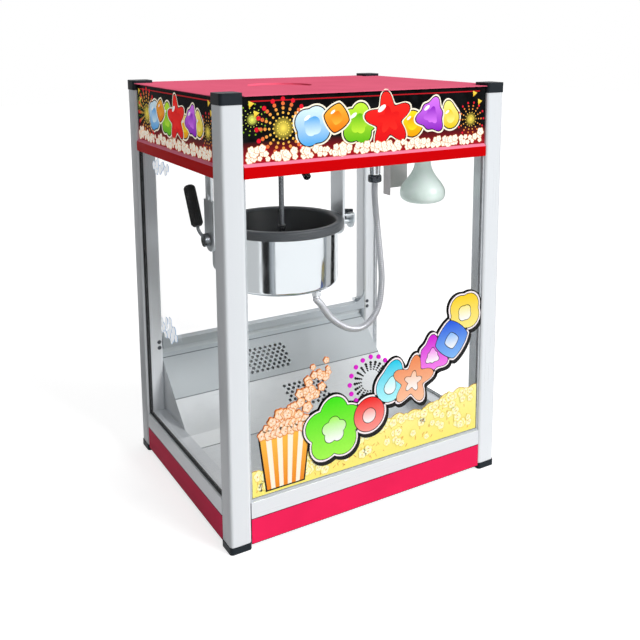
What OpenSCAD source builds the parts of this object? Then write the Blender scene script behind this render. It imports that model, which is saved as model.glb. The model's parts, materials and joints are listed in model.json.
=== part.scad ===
// Cabinet popcorn maker for the counter: four aluminium posts carry a glazed popping bay,
// a lit header with the stirrer drive, and a base with a sloped sieve floor over a kernel
// drawer. The kettle hangs from two arms below the header and tips towards the glass.
// Millimetres. +X is right, -Y is the glazed front, +Z is up, and the origin is the centre
// of the footprint on the table.

/* [Cabinet] */
// Width over the corner caps
cabinet_w = 560; // [500:10:680]
// Depth over the corner caps
cabinet_d = 450; // [430:10:560]
// Height over the top caps
cabinet_h = 750; // [720:10:880]
// Height of the header box, from its floor to the top of the caps
header_h = 133; // [125:1:170]
// Thickness of the bent steel sheet
sheet = 1.2; // [0.8:0.1:2]

/* [Posts and corners] */
// Side of each square post
post_w = 38; // [32:1:44]
// Wall of the post extrusion
post_wall = 2; // [1.5:0.5:4]
// Radius of a post's long edges
post_round = 6; // [3:1:10]
// How far the caps and feet stand proud of the posts, outwards only
cap_over = 1; // [0.5:0.5:3]
// Height of a top cap
cap_h = 18; // [12:1:24]
// Height of a corner foot
foot_h = 12; // [8:1:18]
// How deep a cap's plug reaches into its post
plug_depth = 10; // [5:1:25]
// Clearance of a cap's plug in its post
plug_gap = 0.3; // [0.1:0.1:0.8]

/* [Base] */
// Gap between the table and the skirt
skirt_lift = 7; // [4:1:14]
// Height of the skirt
skirt_h = 45; // [40:1:60]
// Width of the flange that carries the bottom plate
skirt_flange = 16; // [10:1:24]
// How far panels sit behind the faces of the posts
panel_inset = 1; // [0.5:0.5:3]
// Height of the lower rails
rail_h = 29; // [20:1:40]
// Wall of the lower rails
rail_wall = 2; // [1:0.5:4]

/* [Sieve floor] */
// Where the lower slope starts, from the centre
fold_low_y = 42; // [20:1:50]
// Where the upper slope starts, from the centre
fold_high_y = 126; // [110:1:135]
// Rise of the lower slope
low_rise = 71; // [60:1:80]
// Rise of the upper slope
high_rise = 71; // [60:1:80]
// Radius of a sieve hole
sieve_r = 3.4; // [1.5:0.1:3.5]
// Pitch of the sieve holes along a row
sieve_pitch = 12; // [9:0.5:16]
// Rows of holes in each sieve
sieve_rows = 7; // [3:1:7]
// Holes in a row
sieve_columns = 8; // [3:1:12]

/* [Rear rail] */
// Height of the rear rail's underside
rear_rail_z = 210; // [205:1:225]
// Height of the rear rail
rear_rail_h = 15; // [14:1:34]
// Depth of the rear rail
rear_rail_d = 20; // [12:1:26]
// Radius of the rail's corner brackets
bracket_r = 30; // [15:1:45]
// Thickness of the rail's corner brackets
bracket_t = 3; // [2:0.5:5]

/* [Kernel drawer] */
// Width of the drawer
drawer_w = 300; // [200:10:340]
// Depth of the drawer, front to back
drawer_d = 136; // [90:2:140]
// Wall of the drawer
drawer_wall = 1.5; // [1:0.5:3]
// Clearance around the drawer
drawer_gap = 1; // [0.5:0.5:3]
// Height of the drawer's guides
guide_h = 14; // [8:1:20]
// Radius of the drawer's knob
drawer_knob_r = 9; // [6:1:14]

/* [Glazing] */
// Thickness of the fixed glass
glass_t = 4; // [3:0.5:6]
// Glass face behind the faces of the posts
glass_inset = 6; // [4:1:20]
// Width of the rubber gasket
gasket_w = 3; // [3:1:9]
// Rubber on each face of the glass
gasket_lip = 1.2; // [1:0.1:4]
// Thickness of the rear doors
door_t = 5; // [4:0.5:8]
// Distance of a door's hinge line from its post
door_hinge_x = 10; // [8:1:14]
// Radius of a door's hinge barrel
barrel_r = 5; // [4:0.5:6]
// Radius of a door's hinge pin
hinge_pin_r = 2; // [1.5:0.5:2.5]
// Height of a hinge block
hinge_block_h = 6; // [5:0.5:10]
// Gap between the two doors, and over and under each
door_gap = 2; // [1:0.5:4]
// Radius of a door's knob
door_knob_r = 10; // [6:1:16]

/* [Header] */
// Height of the red trim's upright face
trim_h = 18; // [12:1:24]
// Sloped ledge on top of the trim, across and up
ledge = 5; // [3:1:8]
// Thickness of the sign panels
sign_t = 4; // [2:0.5:5]
// Top of the roof below the top of the caps
roof_drop = 5; // [3:1:8]
// Radius of the roof's pressed dimple
dimple_r = 60; // [40:1:75]
// Depth of the dimple
dimple_depth = 3; // [1:0.5:5]

/* [Kettle] */
// Centre of the kettle from the left side of the bay
kettle_inset = 176; // [168:1:190]
// Radius of the steel shell
kettle_r = 106; // [90:1:110]
// Height of the steel shell
kettle_h = 110; // [95:1:125]
// Wall of the steel shell
shell_wall = 1.5; // [1:0.5:3]
// Radius of the rounded edge under the shell
shell_round = 8; // [5:1:12]
// Rim of the pot beyond the shell
rim_over = 12; // [8:1:14]
// Height of the pot's rim
rim_h = 12; // [8:1:16]
// Wall of the cooking pot
pot_wall = 2; // [1.5:0.5:4]
// Air gap between pot and shell
pot_gap = 0.5; // [0.2:0.1:2]
// Height of the heating plate
heater_h = 10; // [6:1:14]
// Radius of the heating plate
heater_r = 80; // [60:1:82]
// Gap from the header floor down to the rim
kettle_drop = 123; // [118:1:145]
// Tilt axis below the top of the rim
pivot_drop = 22; // [22:1:28]
// Radius of the pivot pins
pivot_r = 6; // [4:0.5:7]
// Radius of the bosses round the pivot pins
boss_r = 9; // [8.5:0.5:9.5]

/* [Hanger arms] */
// Thickness of the arms
arm_t = 5; // [4:0.5:8]
// Length of the flanges that bolt the arms to the header
arm_flange = 22; // [18:1:28]
// Width of the right arm
arm_right_w = 46; // [40:1:56]
// Width of the left arm at its top
arm_left_w = 24; // [18:1:30]
// Width of the left arm at its pivot
arm_foot_w = 44; // [40:1:56]
// Gap between the rim and the right arm
arm_right_gap = 3; // [3:1:8]
// Gap between the rim and the left arm
arm_left_gap = 23; // [20:1:30]
// Length of the wide foot above the pivot
arm_foot_rise = 72; // [60:1:85]
// Running clearance of pins and shafts, on the radius
run_gap = 0.05; // [0.03:0.01:0.1]
// Radius of the bolt head on the left arm
arm_bolt_r = 5; // [3:0.5:7]
// Radius of the stop bar's top, round the left pivot pin
stop_bar_r = 15; // [12:1:18]
// Width of the stop bar
stop_bar_w = 20; // [12:1:24]
// Length of the stop bar below the pivot pin
stop_bar_len = 46; // [30:1:60]
// Thickness of the stop bar and the yoke
bar_t = 4; // [3:0.5:5]
// Depth of the latch yoke outside the right arm
yoke_d = 28; // [22:1:34]
// Width of the latch yoke
yoke_w = 34; // [28:1:38]

/* [Tipping handle] */
// Radius of the handle's rod
rod_r = 3; // [2.5:0.5:5]
// Radius of the handle's grip
grip_r = 11; // [8:0.5:12]
// Length of the handle's grip
grip_len = 90; // [60:1:95]

/* [Stirrer and drive] */
// Radius of the stirrer shaft
shaft_r = 5; // [3.5:0.5:7]
// Gap from the raised coupler to the shaft
coupler_gap = 0.5; // [0.5:0.1:1.5]
// Radius of the coupler sleeve
coupler_r = 11; // [9:0.5:13]
// Coupler below the header floor
coupler_drop = 18; // [14:1:24]
// Width of the stirrer's blades
blade_w = 12; // [8:1:18]
// Height of the stirrer's blades
blade_h = 5; // [3:0.5:10]
// Gap from the blades to the pot's wall
blade_gap = 8; // [4:1:14]
// Gap from the blades to the pot's floor
blade_lift = 1.5; // [1:0.5:4]
// Length of the motor bracket
motor_bracket_len = 80; // [66:1:100]
// Width of the motor bracket's bridge
motor_bridge_w = 88; // [70:1:110]
// Width of each foot of the motor bracket
motor_foot_w = 12; // [8:1:20]
// Height of the motor bracket
motor_rise = 16; // [12:1:22]
// Radius of the motor
motor_r = 26; // [20:1:28]
// Length of the motor
motor_len = 70; // [50:1:90]

/* [Lamp] */
// Centre of the lamp from the right side of the bay
lamp_inset = 54; // [46:1:60]
// Centre of the lamp from the front of the bay
lamp_setback = 82; // [60:1:90]
// Radius of the reflector bulb
lamp_r = 44; // [36:1:47]
// Length of the reflector bulb
lamp_len = 84; // [72:1:100]
// Radius of the bulb's neck
lamp_neck_r = 15; // [12:1:17]
// Height of the lamp holder
holder_h = 18; // [14:1:30]
// Width of the heat shield
shield_w = 56; // [50:1:90]
// Height of the heat shield
shield_h = 77; // [65:1:95]
// Depth of the heat shield's side flange
shield_flange = 22; // [12:1:28]

/* [Switches and cord inlet] */
// Width of a rocker
rocker_w = 18; // [14:1:24]
// Height of a rocker
rocker_h = 27; // [22:1:32]
// Distance between rockers
switch_pitch = 60; // [45:1:75]
// Height of the rockers above the header floor
switch_rise = 66; // [55:1:72]
// How far a rocker turns
rocker_turn = 14; // [8:1:18]
// Radius of the cord inlet's bore
inlet_r = 4.2; // [3:0.1:5.5]

/* [Hidden] */
$fn = 48;
cut = 1;

// Cabinet datums
post_x = cabinet_w / 2 - cap_over;
post_y = cabinet_d / 2 - cap_over;
bay_x = post_x - post_w;
bay_y = post_y - post_w;
rail_z = skirt_lift + skirt_h;
rail_top = rail_z + rail_h;
header_z = cabinet_h - header_h;
header_top = header_z + sheet;
roof_z = cabinet_h - roof_drop;
sign_z = header_z + trim_h + ledge;
sign_inset = panel_inset + ledge;
header_inset = sign_inset + 8;

// Rear of the cabinet
rear_rail_back = bay_y + rear_rail_d;
rear_rail_top = rear_rail_z + rear_rail_h;
back_face = rear_rail_back + sheet;
door_y = rear_rail_back + 1.5;
hinge_x = bay_x - door_hinge_x;
door_low = rear_rail_top + hinge_block_h + door_gap / 4;
door_high = header_z - hinge_block_h - door_gap / 4;
knob_reach = 14;

// Sieve floor
fold_low = [fold_low_y, rail_z];
fold_high = [fold_high_y, rail_z + low_rise];
slope_end = [bay_y + 17, fold_high[1] + high_rise];
low_sieve_x = 32;
high_sieve_x = -25;
low_sieve_start = 34;
high_sieve_start = 20;

// Kernel drawer
bottom_top = skirt_lift + 2 * sheet;
drawer_z = bottom_top + drawer_gap / 4;
drawer_h = rail_z - drawer_z - 2 * drawer_gap;
drawer_front_h = drawer_h + 2;

// Kettle and its tilt axis
kettle_x = -bay_x + kettle_inset;
rim_z = header_z - kettle_drop;
shell_top = rim_z - rim_h;
shell_z = shell_top - kettle_h;
heater_z = shell_z + shell_wall;
pot_z = heater_z + heater_h;
pot_r = kettle_r - shell_wall - pot_gap;
pot_floor = pot_z + pot_wall;
pivot_z = rim_z - pivot_drop;
rim_r = kettle_r + rim_over;
yoke_shelf_z = pivot_r + 8;
latch_gap = 0.4;
latch_z = pivot_z + yoke_shelf_z + bar_t + latch_gap;
stem_r = 3;
arm_right_x = kettle_x + rim_r + arm_right_gap;
arm_left_x = kettle_x - rim_r - arm_left_gap;
spigot_r = 3;
spigot_h = 10;

// Handle route: outwards from the left arm, rearwards, and up from the tilt axis
hub_x = arm_left_x - arm_t - 1.2;
hub_t = 10;
handle_bends = [[5, 1, 1], [8, 3, 5], [13, 6, 12], [16, 8, 19]];
grip_lean = 29;

// Drive
shaft_top = header_z - coupler_drop - coupler_gap;
motor_z = header_top + motor_rise;
gearbox = [66, 56, 50];
spindle_r = 5;

// Release lever
lever_at = [kettle_x + 8, -60];
lever_z = header_z - 8;
lever_lean = 27;
lever_len = 37;
lever_r = 7;
lug_gap = 9;

// Lamp
lamp_x = bay_x - lamp_inset;
lamp_y = -bay_y + lamp_setback;

// Power conduit: plug above, gland below
plug_at = [152, 10];
plug_r = 12;
plug_h = 72;
conduit_r = 7;
conduit_rings = 26;
gland_at = [-30, -70];
gland_h = 16;
gland_r = 10;
conduit_route = [
    [152, 10, 542], [152, 10, 512], [156, 8, 460], [160, 3, 400], [158, -8, 338],
    [139, -22, 286], [100, -34, 261], [55, -46, 269], [10, -58, 300], [-20, -68, 337],
    [-30, -70, 348], [-30, -70, 356]];

// Control panel
control_y = post_y - header_inset + sheet;
switch_z = header_z + switch_rise;
bezel_t = 2.5;
bezel_lip = 4;
socket_wall = 1;
socket_depth = 20;
socket_back = 3.5;
rocker_pivot_y = control_y + 1;
inlet_at = [bay_x - 81, header_z + 30];

screw_r = 4;
screw_h = 2;

RED = [0.9, 0.05, 0.1];
ALUMINIUM = [0.85, 0.87, 0.88];
STEEL = [0.72, 0.76, 0.78];
BLACK = [0.08, 0.09, 0.1];
CLEAR = [0.8, 0.9, 0.95, 0.35];
DARK = [0.3, 0.32, 0.34];

// ---- shared shapes ----

function unit(v) = v / norm(v);
function normal_left(a, b) = let (u = unit(b - a)) [-u[1], u[0]];
function mitre(p, i, t) =
    let (last = len(p) - 2,
         n1 = normal_left(p[max(i - 1, 0)], p[max(i - 1, 0) + 1]),
         n2 = normal_left(p[min(i, last)], p[min(i, last) + 1]))
    p[i] + t * (n1 + n2) / (1 + n1 * n2);
// The outline of a sheet of thickness t, bent along the open line p, on its left side
function bent(p, t) = concat(p, [for (i = [len(p) - 1 : -1 : 0]) mitre(p, i, t)]);

// A rounded rectangle from low corner [0, 0], built of squares and true circles
module rounded(size, r) {
    translate([r, 0]) square([size[0] - 2 * r, size[1]]);
    translate([0, r]) square([size[0], size[1] - 2 * r]);
    for (x = [r, size[0] - r], y = [r, size[1] - r]) translate([x, y]) circle(r);
}

// Extrudes a drawing of [y, z] along X from x = 0
module along_x(length) rotate([90, 0, 90]) linear_extrude(length) children();

// Extrudes a drawing of [x, z] along Y, centred on y = 0
module along_y(length) translate([0, length / 2, 0]) rotate([90, 0, 0]) linear_extrude(length) children();

// A cylinder along X or Y from the origin
module rod_x(r, length) rotate([0, 90, 0]) cylinder(h = length, r = r);
module rod_y(r, length) rotate([-90, 0, 0]) cylinder(h = length, r = r);

// Turns the front of the cabinet to one of its sides
function side_turn(side) = side == "left" ? -90 : side == "right" ? 90 : side == "rear" ? 180 : 0;
function side_half(side) = side == "left" || side == "right" ? bay_y : bay_x;
function side_face(side) = side == "left" || side == "right" ? post_x : post_y;

// Extrudes a drawing of [inset from the post faces, z] between the posts of a side
module side_run(side, shorter = 0) {
    half = side_half(side) - shorter;
    rotate([0, 0, side_turn(side)])
        translate([-half, -side_face(side), 0]) along_x(2 * half) children();
}

// The four corners, each drawn as the front left one: +X and +Y lead into the cabinet
module at_corner(right, rear)
    mirror([right, 0, 0]) mirror([0, rear, 0]) translate([-post_x, -post_y, 0]) children();
module at_corners() for (right = [0, 1], rear = [0, 1]) at_corner(right, rear) children();

// A plate that fills the cabinet behind the given inset, with its corners cut for the posts
module plate_outline(inset, corner) {
    difference() {
        translate([-post_x + inset, -post_y + inset])
            square([2 * (post_x - inset), 2 * (post_y - inset)]);
        for (right = [0, 1], rear = [0, 1]) mirror([right, 0]) mirror([0, rear])
            translate([-post_x - cut, -post_y - cut]) square(corner + cut);
    }
}

// ---- posts and corners ----

module post(right, rear) color(ALUMINIUM) at_corner(right, rear) translate([0, 0, foot_h])
    linear_extrude(cabinet_h - cap_h - foot_h) difference() {
        rounded([post_w, post_w], post_round);
        translate([post_wall, post_wall]) square(post_w - 2 * post_wall);
    }

module corner_block(h, plug_side) {
    inner = post_w - 2 * (post_wall + plug_gap);
    translate([-cap_over, -cap_over, 0])
        linear_extrude(h) rounded([post_w + cap_over, post_w + cap_over], post_round);
    translate([post_wall + plug_gap, post_wall + plug_gap, plug_side > 0 ? h : -plug_depth])
        cube([inner, inner, plug_depth]);
}

module top_caps() color(BLACK) at_corners() translate([0, 0, cabinet_h - cap_h]) corner_block(cap_h, -1);
module corner_feet() color(BLACK) at_corners() corner_block(foot_h, 1);

// ---- base ----

module skirt(side) color(RED) side_run(side) polygon(bent([
    [skirt_flange, skirt_lift], [panel_inset, skirt_lift], [panel_inset, rail_z]], -sheet));

module back_panel() color(STEEL) difference() {
    translate([-bay_x, 0, 0]) along_x(2 * bay_x) polygon(bent([
        [rear_rail_back - skirt_flange, skirt_lift], [back_face, skirt_lift],
        [back_face, rear_rail_top]], sheet));
    translate([-drawer_w / 2 - drawer_gap, rear_rail_back - cut, bottom_top])
        cube([drawer_w + 2 * drawer_gap, sheet + 2 * cut, drawer_h + drawer_gap]);
}

module lower_rails() color(ALUMINIUM) for (side = ["front", "left", "right"]) side_run(side)
    translate([panel_inset, rail_z]) difference() {
        square([post_w - panel_inset, rail_h]);
        translate([rail_wall, rail_wall])
            square([post_w - panel_inset - 2 * rail_wall, rail_h - 2 * rail_wall]);
    }

module bottom_plate() color(STEEL) {
    guide_x = drawer_w / 2 + drawer_gap / 2;
    front = post_y - panel_inset - sheet;
    side = post_x - panel_inset - sheet;
    difference() {
        translate([-side, -front, skirt_lift + sheet])
            cube([2 * side, front + rear_rail_back, sheet]);
        at_corners() translate([-cut, -cut, 0])
            cube([post_w + cut, post_w + cut, rail_z]);
    }
    for (right = [0, 1]) mirror([right, 0, 0])
        translate([guide_x, rear_rail_back - drawer_d, skirt_lift + sheet])
            cube([sheet, drawer_d, guide_h]);
}

// Staggered holes up the slope between two folds, given as [y, z], from start upwards
module sieve(from, to, centre_x, start) {
    angle = atan2(to[1] - from[1], to[0] - from[0]);
    row_pitch = sieve_pitch * sin(60) * 0.8;
    for (row = [0 : sieve_rows - 1], column = [0 : sieve_columns - 1])
        translate([0, from[0], from[1]]) rotate([angle, 0, 0])
            translate([
                centre_x + (column - (sieve_columns - 1) / 2 + (row % 2) / 2) * sieve_pitch,
                start + row * row_pitch, -cut])
                cylinder(h = sheet + 2 * cut, r = sieve_r, $fn = 16);
}

module floor_pan() color(STEEL) difference() {
    translate([-bay_x, 0, 0]) along_x(2 * bay_x) polygon(bent([
        [-bay_y, rail_z], fold_low, fold_high, slope_end, [slope_end[0], rear_rail_z]], sheet));
    sieve(fold_low, fold_high, low_sieve_x, low_sieve_start);
    sieve(fold_high, slope_end, high_sieve_x, high_sieve_start);
}

module slope_gussets() color(STEEL) for (right = [0, 1]) mirror([right, 0, 0])
    translate([-bay_x, 0, 0]) along_x(sheet) polygon([
        fold_low, fold_high, slope_end, [slope_end[0], rail_z]]);

module rear_rail() color(STEEL) {
    translate([-bay_x, bay_y, rear_rail_z]) cube([2 * bay_x, rear_rail_d, rear_rail_h]);
    for (right = [0, 1]) mirror([right, 0, 0])
        translate([-bay_x, bay_y + bracket_t / 2, rear_rail_top]) along_y(bracket_t) difference() {
            square(bracket_r);
            translate([bracket_r, bracket_r]) circle(bracket_r);
        }
}

module kernel_drawer() color(STEEL) {
    front_w = drawer_w + 12;
    translate([0, 0, drawer_z]) difference() {
        translate([-drawer_w / 2, back_face - drawer_d, 0]) cube([drawer_w, drawer_d, drawer_h]);
        translate([-drawer_w / 2 + drawer_wall, back_face - drawer_d + drawer_wall, drawer_wall])
            cube([drawer_w - 2 * drawer_wall, drawer_d - 2 * drawer_wall, drawer_h]);
    }
    translate([-front_w / 2, back_face, drawer_z]) cube([front_w, sheet, drawer_front_h]);
}

module drawer_knob() color(BLACK)
    translate([0, back_face + sheet, drawer_z + drawer_front_h / 2]) {
        rod_y(drawer_knob_r * 0.6, knob_reach - sheet);
        translate([0, (knob_reach - sheet) / 2, 0]) rod_y(drawer_knob_r, (knob_reach - sheet) / 2);
    }

// ---- header ----

module header_floor() color(STEEL) difference() {
    union() {
        translate([0, 0, header_z]) linear_extrude(sheet) plate_outline(header_inset, post_w);
        for (s = [-1, 1]) translate([lever_at[0], lever_at[1] + s * lug_gap, lever_z]) {
            along_y(sheet) {
                circle(lever_r);
                translate([-lever_r, 0]) square([2 * lever_r, header_z - lever_z]);
            }
        }
    }
    translate([kettle_x, 0, header_z - cut]) cylinder(h = sheet + 2 * cut, r = coupler_r + 2);
    translate([plug_at[0], plug_at[1], header_z - cut])
        cylinder(h = sheet + 2 * cut, r = plug_r - 2);
    translate([lever_at[0], lever_at[1] - 2 * lug_gap, lever_z])
        rod_y(hinge_pin_r + run_gap, 4 * lug_gap);
}

module header_trims() color(RED) for (side = ["front", "left", "right"]) side_run(side) polygon([
    [panel_inset, header_z], [panel_inset, header_z + trim_h], [sign_inset, sign_z],
    [header_inset, sign_z], [header_inset, header_z]]);

module sign(side) color(BLACK) side_run(side)
    translate([sign_inset, sign_z]) square([sign_t, roof_z - sheet - sign_z]);

module control_panel() color(STEEL) difference() {
    side_run("rear") translate([header_inset - sheet, header_z]) square([sheet, roof_z - sheet - header_z]);
    for (i = [-1, 0, 1]) translate([i * switch_pitch, control_y, switch_z])
        cube([rocker_w + 3, 4 * sheet, rocker_h + 3], center = true);
    translate([inlet_at[0], control_y - 2 * sheet, inlet_at[1]]) rod_y(inlet_r + 3, 4 * sheet);
}

module roof_panel() color(RED) {
    difference() {
        translate([0, 0, roof_z - sheet]) linear_extrude(sheet) plate_outline(0, post_w + cap_over);
        translate([kettle_x, 0, roof_z - sheet - cut]) cylinder(h = sheet + 2 * cut, r = dimple_r);
    }
    translate([kettle_x, 0, roof_z - sheet - dimple_depth]) difference() {
        cylinder(h = sheet + dimple_depth, r = dimple_r);
        translate([0, 0, sheet]) cylinder(h = dimple_depth + cut, r = dimple_r - sheet);
    }
}

// ---- glazing ----

glass_bite = gasket_w / 2;

module glass(side) color(CLEAR) side_run(side, gasket_w - glass_bite)
    translate([glass_inset, rail_top + gasket_w - glass_bite])
        square([glass_t, header_z - rail_top - gasket_w + glass_bite]);

module gasket_profile() difference() {
    translate([-gasket_lip, 0]) square([glass_t + 2 * gasket_lip, gasket_w]);
    translate([0, gasket_w - glass_bite]) square([glass_t, glass_bite + cut]);
}

module glass_gaskets() color(BLACK) for (side = ["front", "left", "right"]) {
    side_run(side, gasket_w) translate([glass_inset, rail_top]) gasket_profile();
    rotate([0, 0, side_turn(side)]) for (end = [0, 1]) mirror([end, 0, 0])
        translate([-side_half(side), -side_face(side) + glass_inset, rail_top])
            linear_extrude(header_z - rail_top) rotate(-90) mirror([1, 0]) gasket_profile();
}

// A rear door as the left one, hinged on its own barrel
module door(right) color(CLEAR) mirror([right, 0, 0]) {
    translate([-hinge_x, door_y - door_t / 2, door_low])
        cube([hinge_x - door_gap / 2, door_t, door_high - door_low]);
    translate([-hinge_x, door_y, door_low]) cylinder(h = door_high - door_low, r = barrel_r);
    translate([-hinge_x, door_y, door_low - hinge_block_h + 1])
        cylinder(h = door_high - door_low + 2 * hinge_block_h - 2, r = hinge_pin_r);
}

module door_knob(right) color(BLACK) mirror([right, 0, 0])
    translate([-30, door_y + door_t / 2, (door_low + door_high) / 2]) {
        rod_y(door_knob_r * 0.5, knob_reach / 2);
        translate([0, knob_reach / 2 - 1, 0]) rod_y(door_knob_r, knob_reach / 2);
    }

module door_hinges() color(BLACK) for (right = [0, 1], z = [rear_rail_top, header_z - hinge_block_h])
    mirror([right, 0, 0]) difference() {
        translate([-bay_x, door_y - 1.2 * barrel_r, z])
            cube([door_hinge_x + 1.2 * barrel_r, 2.4 * barrel_r, hinge_block_h]);
        translate([-hinge_x, door_y, z - cut])
            cylinder(h = hinge_block_h + 2 * cut, r = hinge_pin_r + run_gap);
    }

// ---- hanger arms ----

// An arm drawn in [y, z] from the pivot up to the header, with a rounded foot
module arm_outline(top_w, foot_w, foot_rise) difference() {
    union() {
        circle(foot_w / 2);
        translate([-foot_w / 2, 0]) square([foot_w, foot_rise]);
        translate([-top_w / 2, 0]) square([top_w, header_z - pivot_z]);
    }
    circle(pivot_r + run_gap);
}

module hanger_arm_left() color(STEEL) translate([arm_left_x - arm_t, 0, pivot_z]) {
    along_x(arm_t) arm_outline(arm_left_w, arm_foot_w, arm_foot_rise);
    translate([arm_t, -arm_left_w / 2, header_z - pivot_z - arm_t]) cube([arm_flange, arm_left_w, arm_t]);
    translate([-screw_h, 0, arm_foot_rise + arm_bolt_r]) rod_x(arm_bolt_r, screw_h);
}

module hanger_arm_right() color(STEEL) translate([arm_right_x, 0, pivot_z]) {
    along_x(arm_t) arm_outline(arm_right_w, arm_right_w, pivot_drop);
    translate([arm_t, -arm_right_w / 2, header_z - pivot_z - arm_t]) cube([arm_flange, arm_right_w, arm_t]);
    difference() {
        translate([arm_t, -yoke_w / 2, yoke_shelf_z]) cube([yoke_d, yoke_w, bar_t]);
        translate([arm_t + yoke_d / 2, 0, yoke_shelf_z - cut])
            cylinder(h = bar_t + 2 * cut, r = stem_r + run_gap);
    }
    translate([arm_t + yoke_d - bar_t, 0, 0]) along_x(bar_t) difference() {
        union() {
            circle(yoke_w / 2 - 3);
            translate([-yoke_w / 2, 0]) square([yoke_w, yoke_shelf_z + bar_t]);
        }
        circle(pivot_r + run_gap);
    }
}

// The latch turns on its stem, which drops through the yoke towards the right pivot pin
module kettle_latch() color(BLACK) translate([arm_right_x + arm_t + yoke_d / 2, 0, latch_z]) {
    stem = latch_z - pivot_z - pivot_r - latch_gap;
    translate([0, 0, -stem]) cylinder(h = stem + 1, r = stem_r);
    cylinder(h = 5, r = 7);
    rotate([0, 0, -35]) translate([-12, -4.5, 1]) cube([28, 9, 5]);
}

// ---- kettle ----

module kettle_shell() color(STEEL) translate([kettle_x, 0, shell_z]) rotate_extrude() difference() {
    union() {
        translate([0, shell_round]) square([kettle_r, kettle_h - shell_round]);
        square([kettle_r - shell_round, kettle_h]);
        translate([kettle_r - shell_round, shell_round]) circle(shell_round);
    }
    translate([-cut, shell_wall]) square([cut + kettle_r - shell_round, kettle_h]);
    translate([-cut, shell_round])
        square([cut + kettle_r - shell_wall, kettle_h]);
    translate([kettle_r - shell_round, shell_round]) circle(shell_round - shell_wall);
    translate([-2 * kettle_r, -cut]) square([2 * kettle_r, kettle_h + 2 * cut]);
}

module kettle_pot() color(DARK) translate([kettle_x, 0, 0]) {
    difference() {
        union() {
            translate([0, 0, pot_z]) cylinder(h = shell_top - pot_z, r = pot_r);
            translate([0, 0, shell_top]) rotate_extrude() {
                square([rim_r, rim_h - 3]);
                square([rim_r - 3, rim_h]);
                translate([rim_r - 3, rim_h - 3]) circle(3);
            }
        }
        translate([0, 0, pot_floor]) cylinder(h = rim_z, r = pot_r - pot_wall);
    }
    translate([0, 0, pot_floor]) cylinder(h = spigot_h, r = spigot_r);
}

module heating_plate() color(DARK)
    translate([kettle_x, 0, heater_z]) cylinder(h = heater_h, r = heater_r);

// Bosses on both sides of the shell, their pivot pins, and the stop bar on the left one
module kettle_trunnions() color(STEEL) {
    bar_x = arm_left_x + 4;
    right_end = arm_right_x + arm_t + yoke_d;
    difference() {
        union() {
            translate([kettle_x, 0, pivot_z]) rod_x(boss_r, arm_right_x - 0.5 - kettle_x);
            translate([kettle_x, 0, pivot_z]) rod_x(pivot_r, right_end - kettle_x);
            translate([bar_x, 0, pivot_z]) rod_x(boss_r, kettle_x - bar_x);
            translate([hub_x - hub_t + 2, 0, pivot_z]) rod_x(pivot_r, kettle_x - hub_x);
            translate([bar_x, 0, pivot_z]) along_x(bar_t) {
                circle(stop_bar_r);
                translate([-stop_bar_w / 2, -stop_bar_len]) square([stop_bar_w, stop_bar_len]);
                translate([0, -stop_bar_len]) circle(stop_bar_w / 2);
            }
        }
        translate([kettle_x, 0, shell_z]) cylinder(h = kettle_h, r = kettle_r);
    }
}

module kettle_gland() color(STEEL)
    translate([gland_at[0], gland_at[1], shell_z - gland_h]) {
        cylinder(h = gland_h, r = gland_r - 2);
        cylinder(h = gland_h / 2, r = gland_r, $fn = 6);
    }

handle_start = [hub_x - hub_t / 2, 0, pivot_z];
handle_points = [for (b = handle_bends) handle_start + [-b[0] + 5, b[1], b[2]]];
grip_start = handle_points[len(handle_points) - 1];
grip_way = [0, sin(grip_lean), cos(grip_lean)];

module handle_rod() color(STEEL) {
    difference() {
        union() {
            translate([hub_x - hub_t, 0, pivot_z]) rod_x(12, hub_t);
            swept_tube(concat(handle_points, [for (d = [5, 12, grip_len - 16])
                grip_start + grip_way * d]), rod_r, 24, 12, [1, 0, 0]);
        }
        translate([hub_x - hub_t + 2, 0, pivot_z]) rod_x(pivot_r, hub_t);
    }
}

module handle_grip() color(BLACK) translate(grip_start + 5 * grip_way) rotate([-grip_lean, 0, 0])
    difference() {
        union() {
            translate([0, 0, 3]) cylinder(h = grip_len - 12, r = grip_r);
            cylinder(h = 3, r1 = grip_r - 3, r2 = grip_r);
            translate([0, 0, grip_len - 9]) cylinder(h = 6, r1 = grip_r, r2 = grip_r - 4);
        }
        translate([0, 0, -cut]) cylinder(h = grip_len - 20 + cut, r = rod_r + plug_gap);
    }

// ---- stirrer and drive ----

module stirrer() color(STEEL) translate([kettle_x, 0, 0]) {
    blade_r = pot_r - pot_wall - blade_gap;
    low = pot_floor + blade_lift;
    difference() {
        union() {
            translate([0, 0, low]) cylinder(h = shaft_top - low, r = shaft_r);
            translate([0, 0, low]) cylinder(h = spigot_h + 6, r = shaft_r + 4);
            translate([0, 0, pivot_z]) cylinder(h = 10, r = shaft_r + 2.5);
            for (turn = [0, 180]) rotate(turn) translate([0, -blade_w / 2, low])
                cube([blade_r, blade_w, blade_h]);
            for (turn = [0, 180]) rotate(turn) translate([blade_r - blade_w, -blade_w / 2, low])
                cube([blade_w / 2, blade_w, 3 * blade_h]);
        }
        translate([0, 0, low - cut]) cylinder(h = spigot_h + cut, r = spigot_r + run_gap);
    }
}

module drive_coupler() color(STEEL) translate([kettle_x, 0, 0]) {
    translate([0, 0, shaft_top + coupler_gap])
        cylinder(h = motor_z - 4 - shaft_top - coupler_gap, r = coupler_r);
    translate([0, 0, motor_z - 5]) cylinder(h = 30, r = spindle_r);
}

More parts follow.
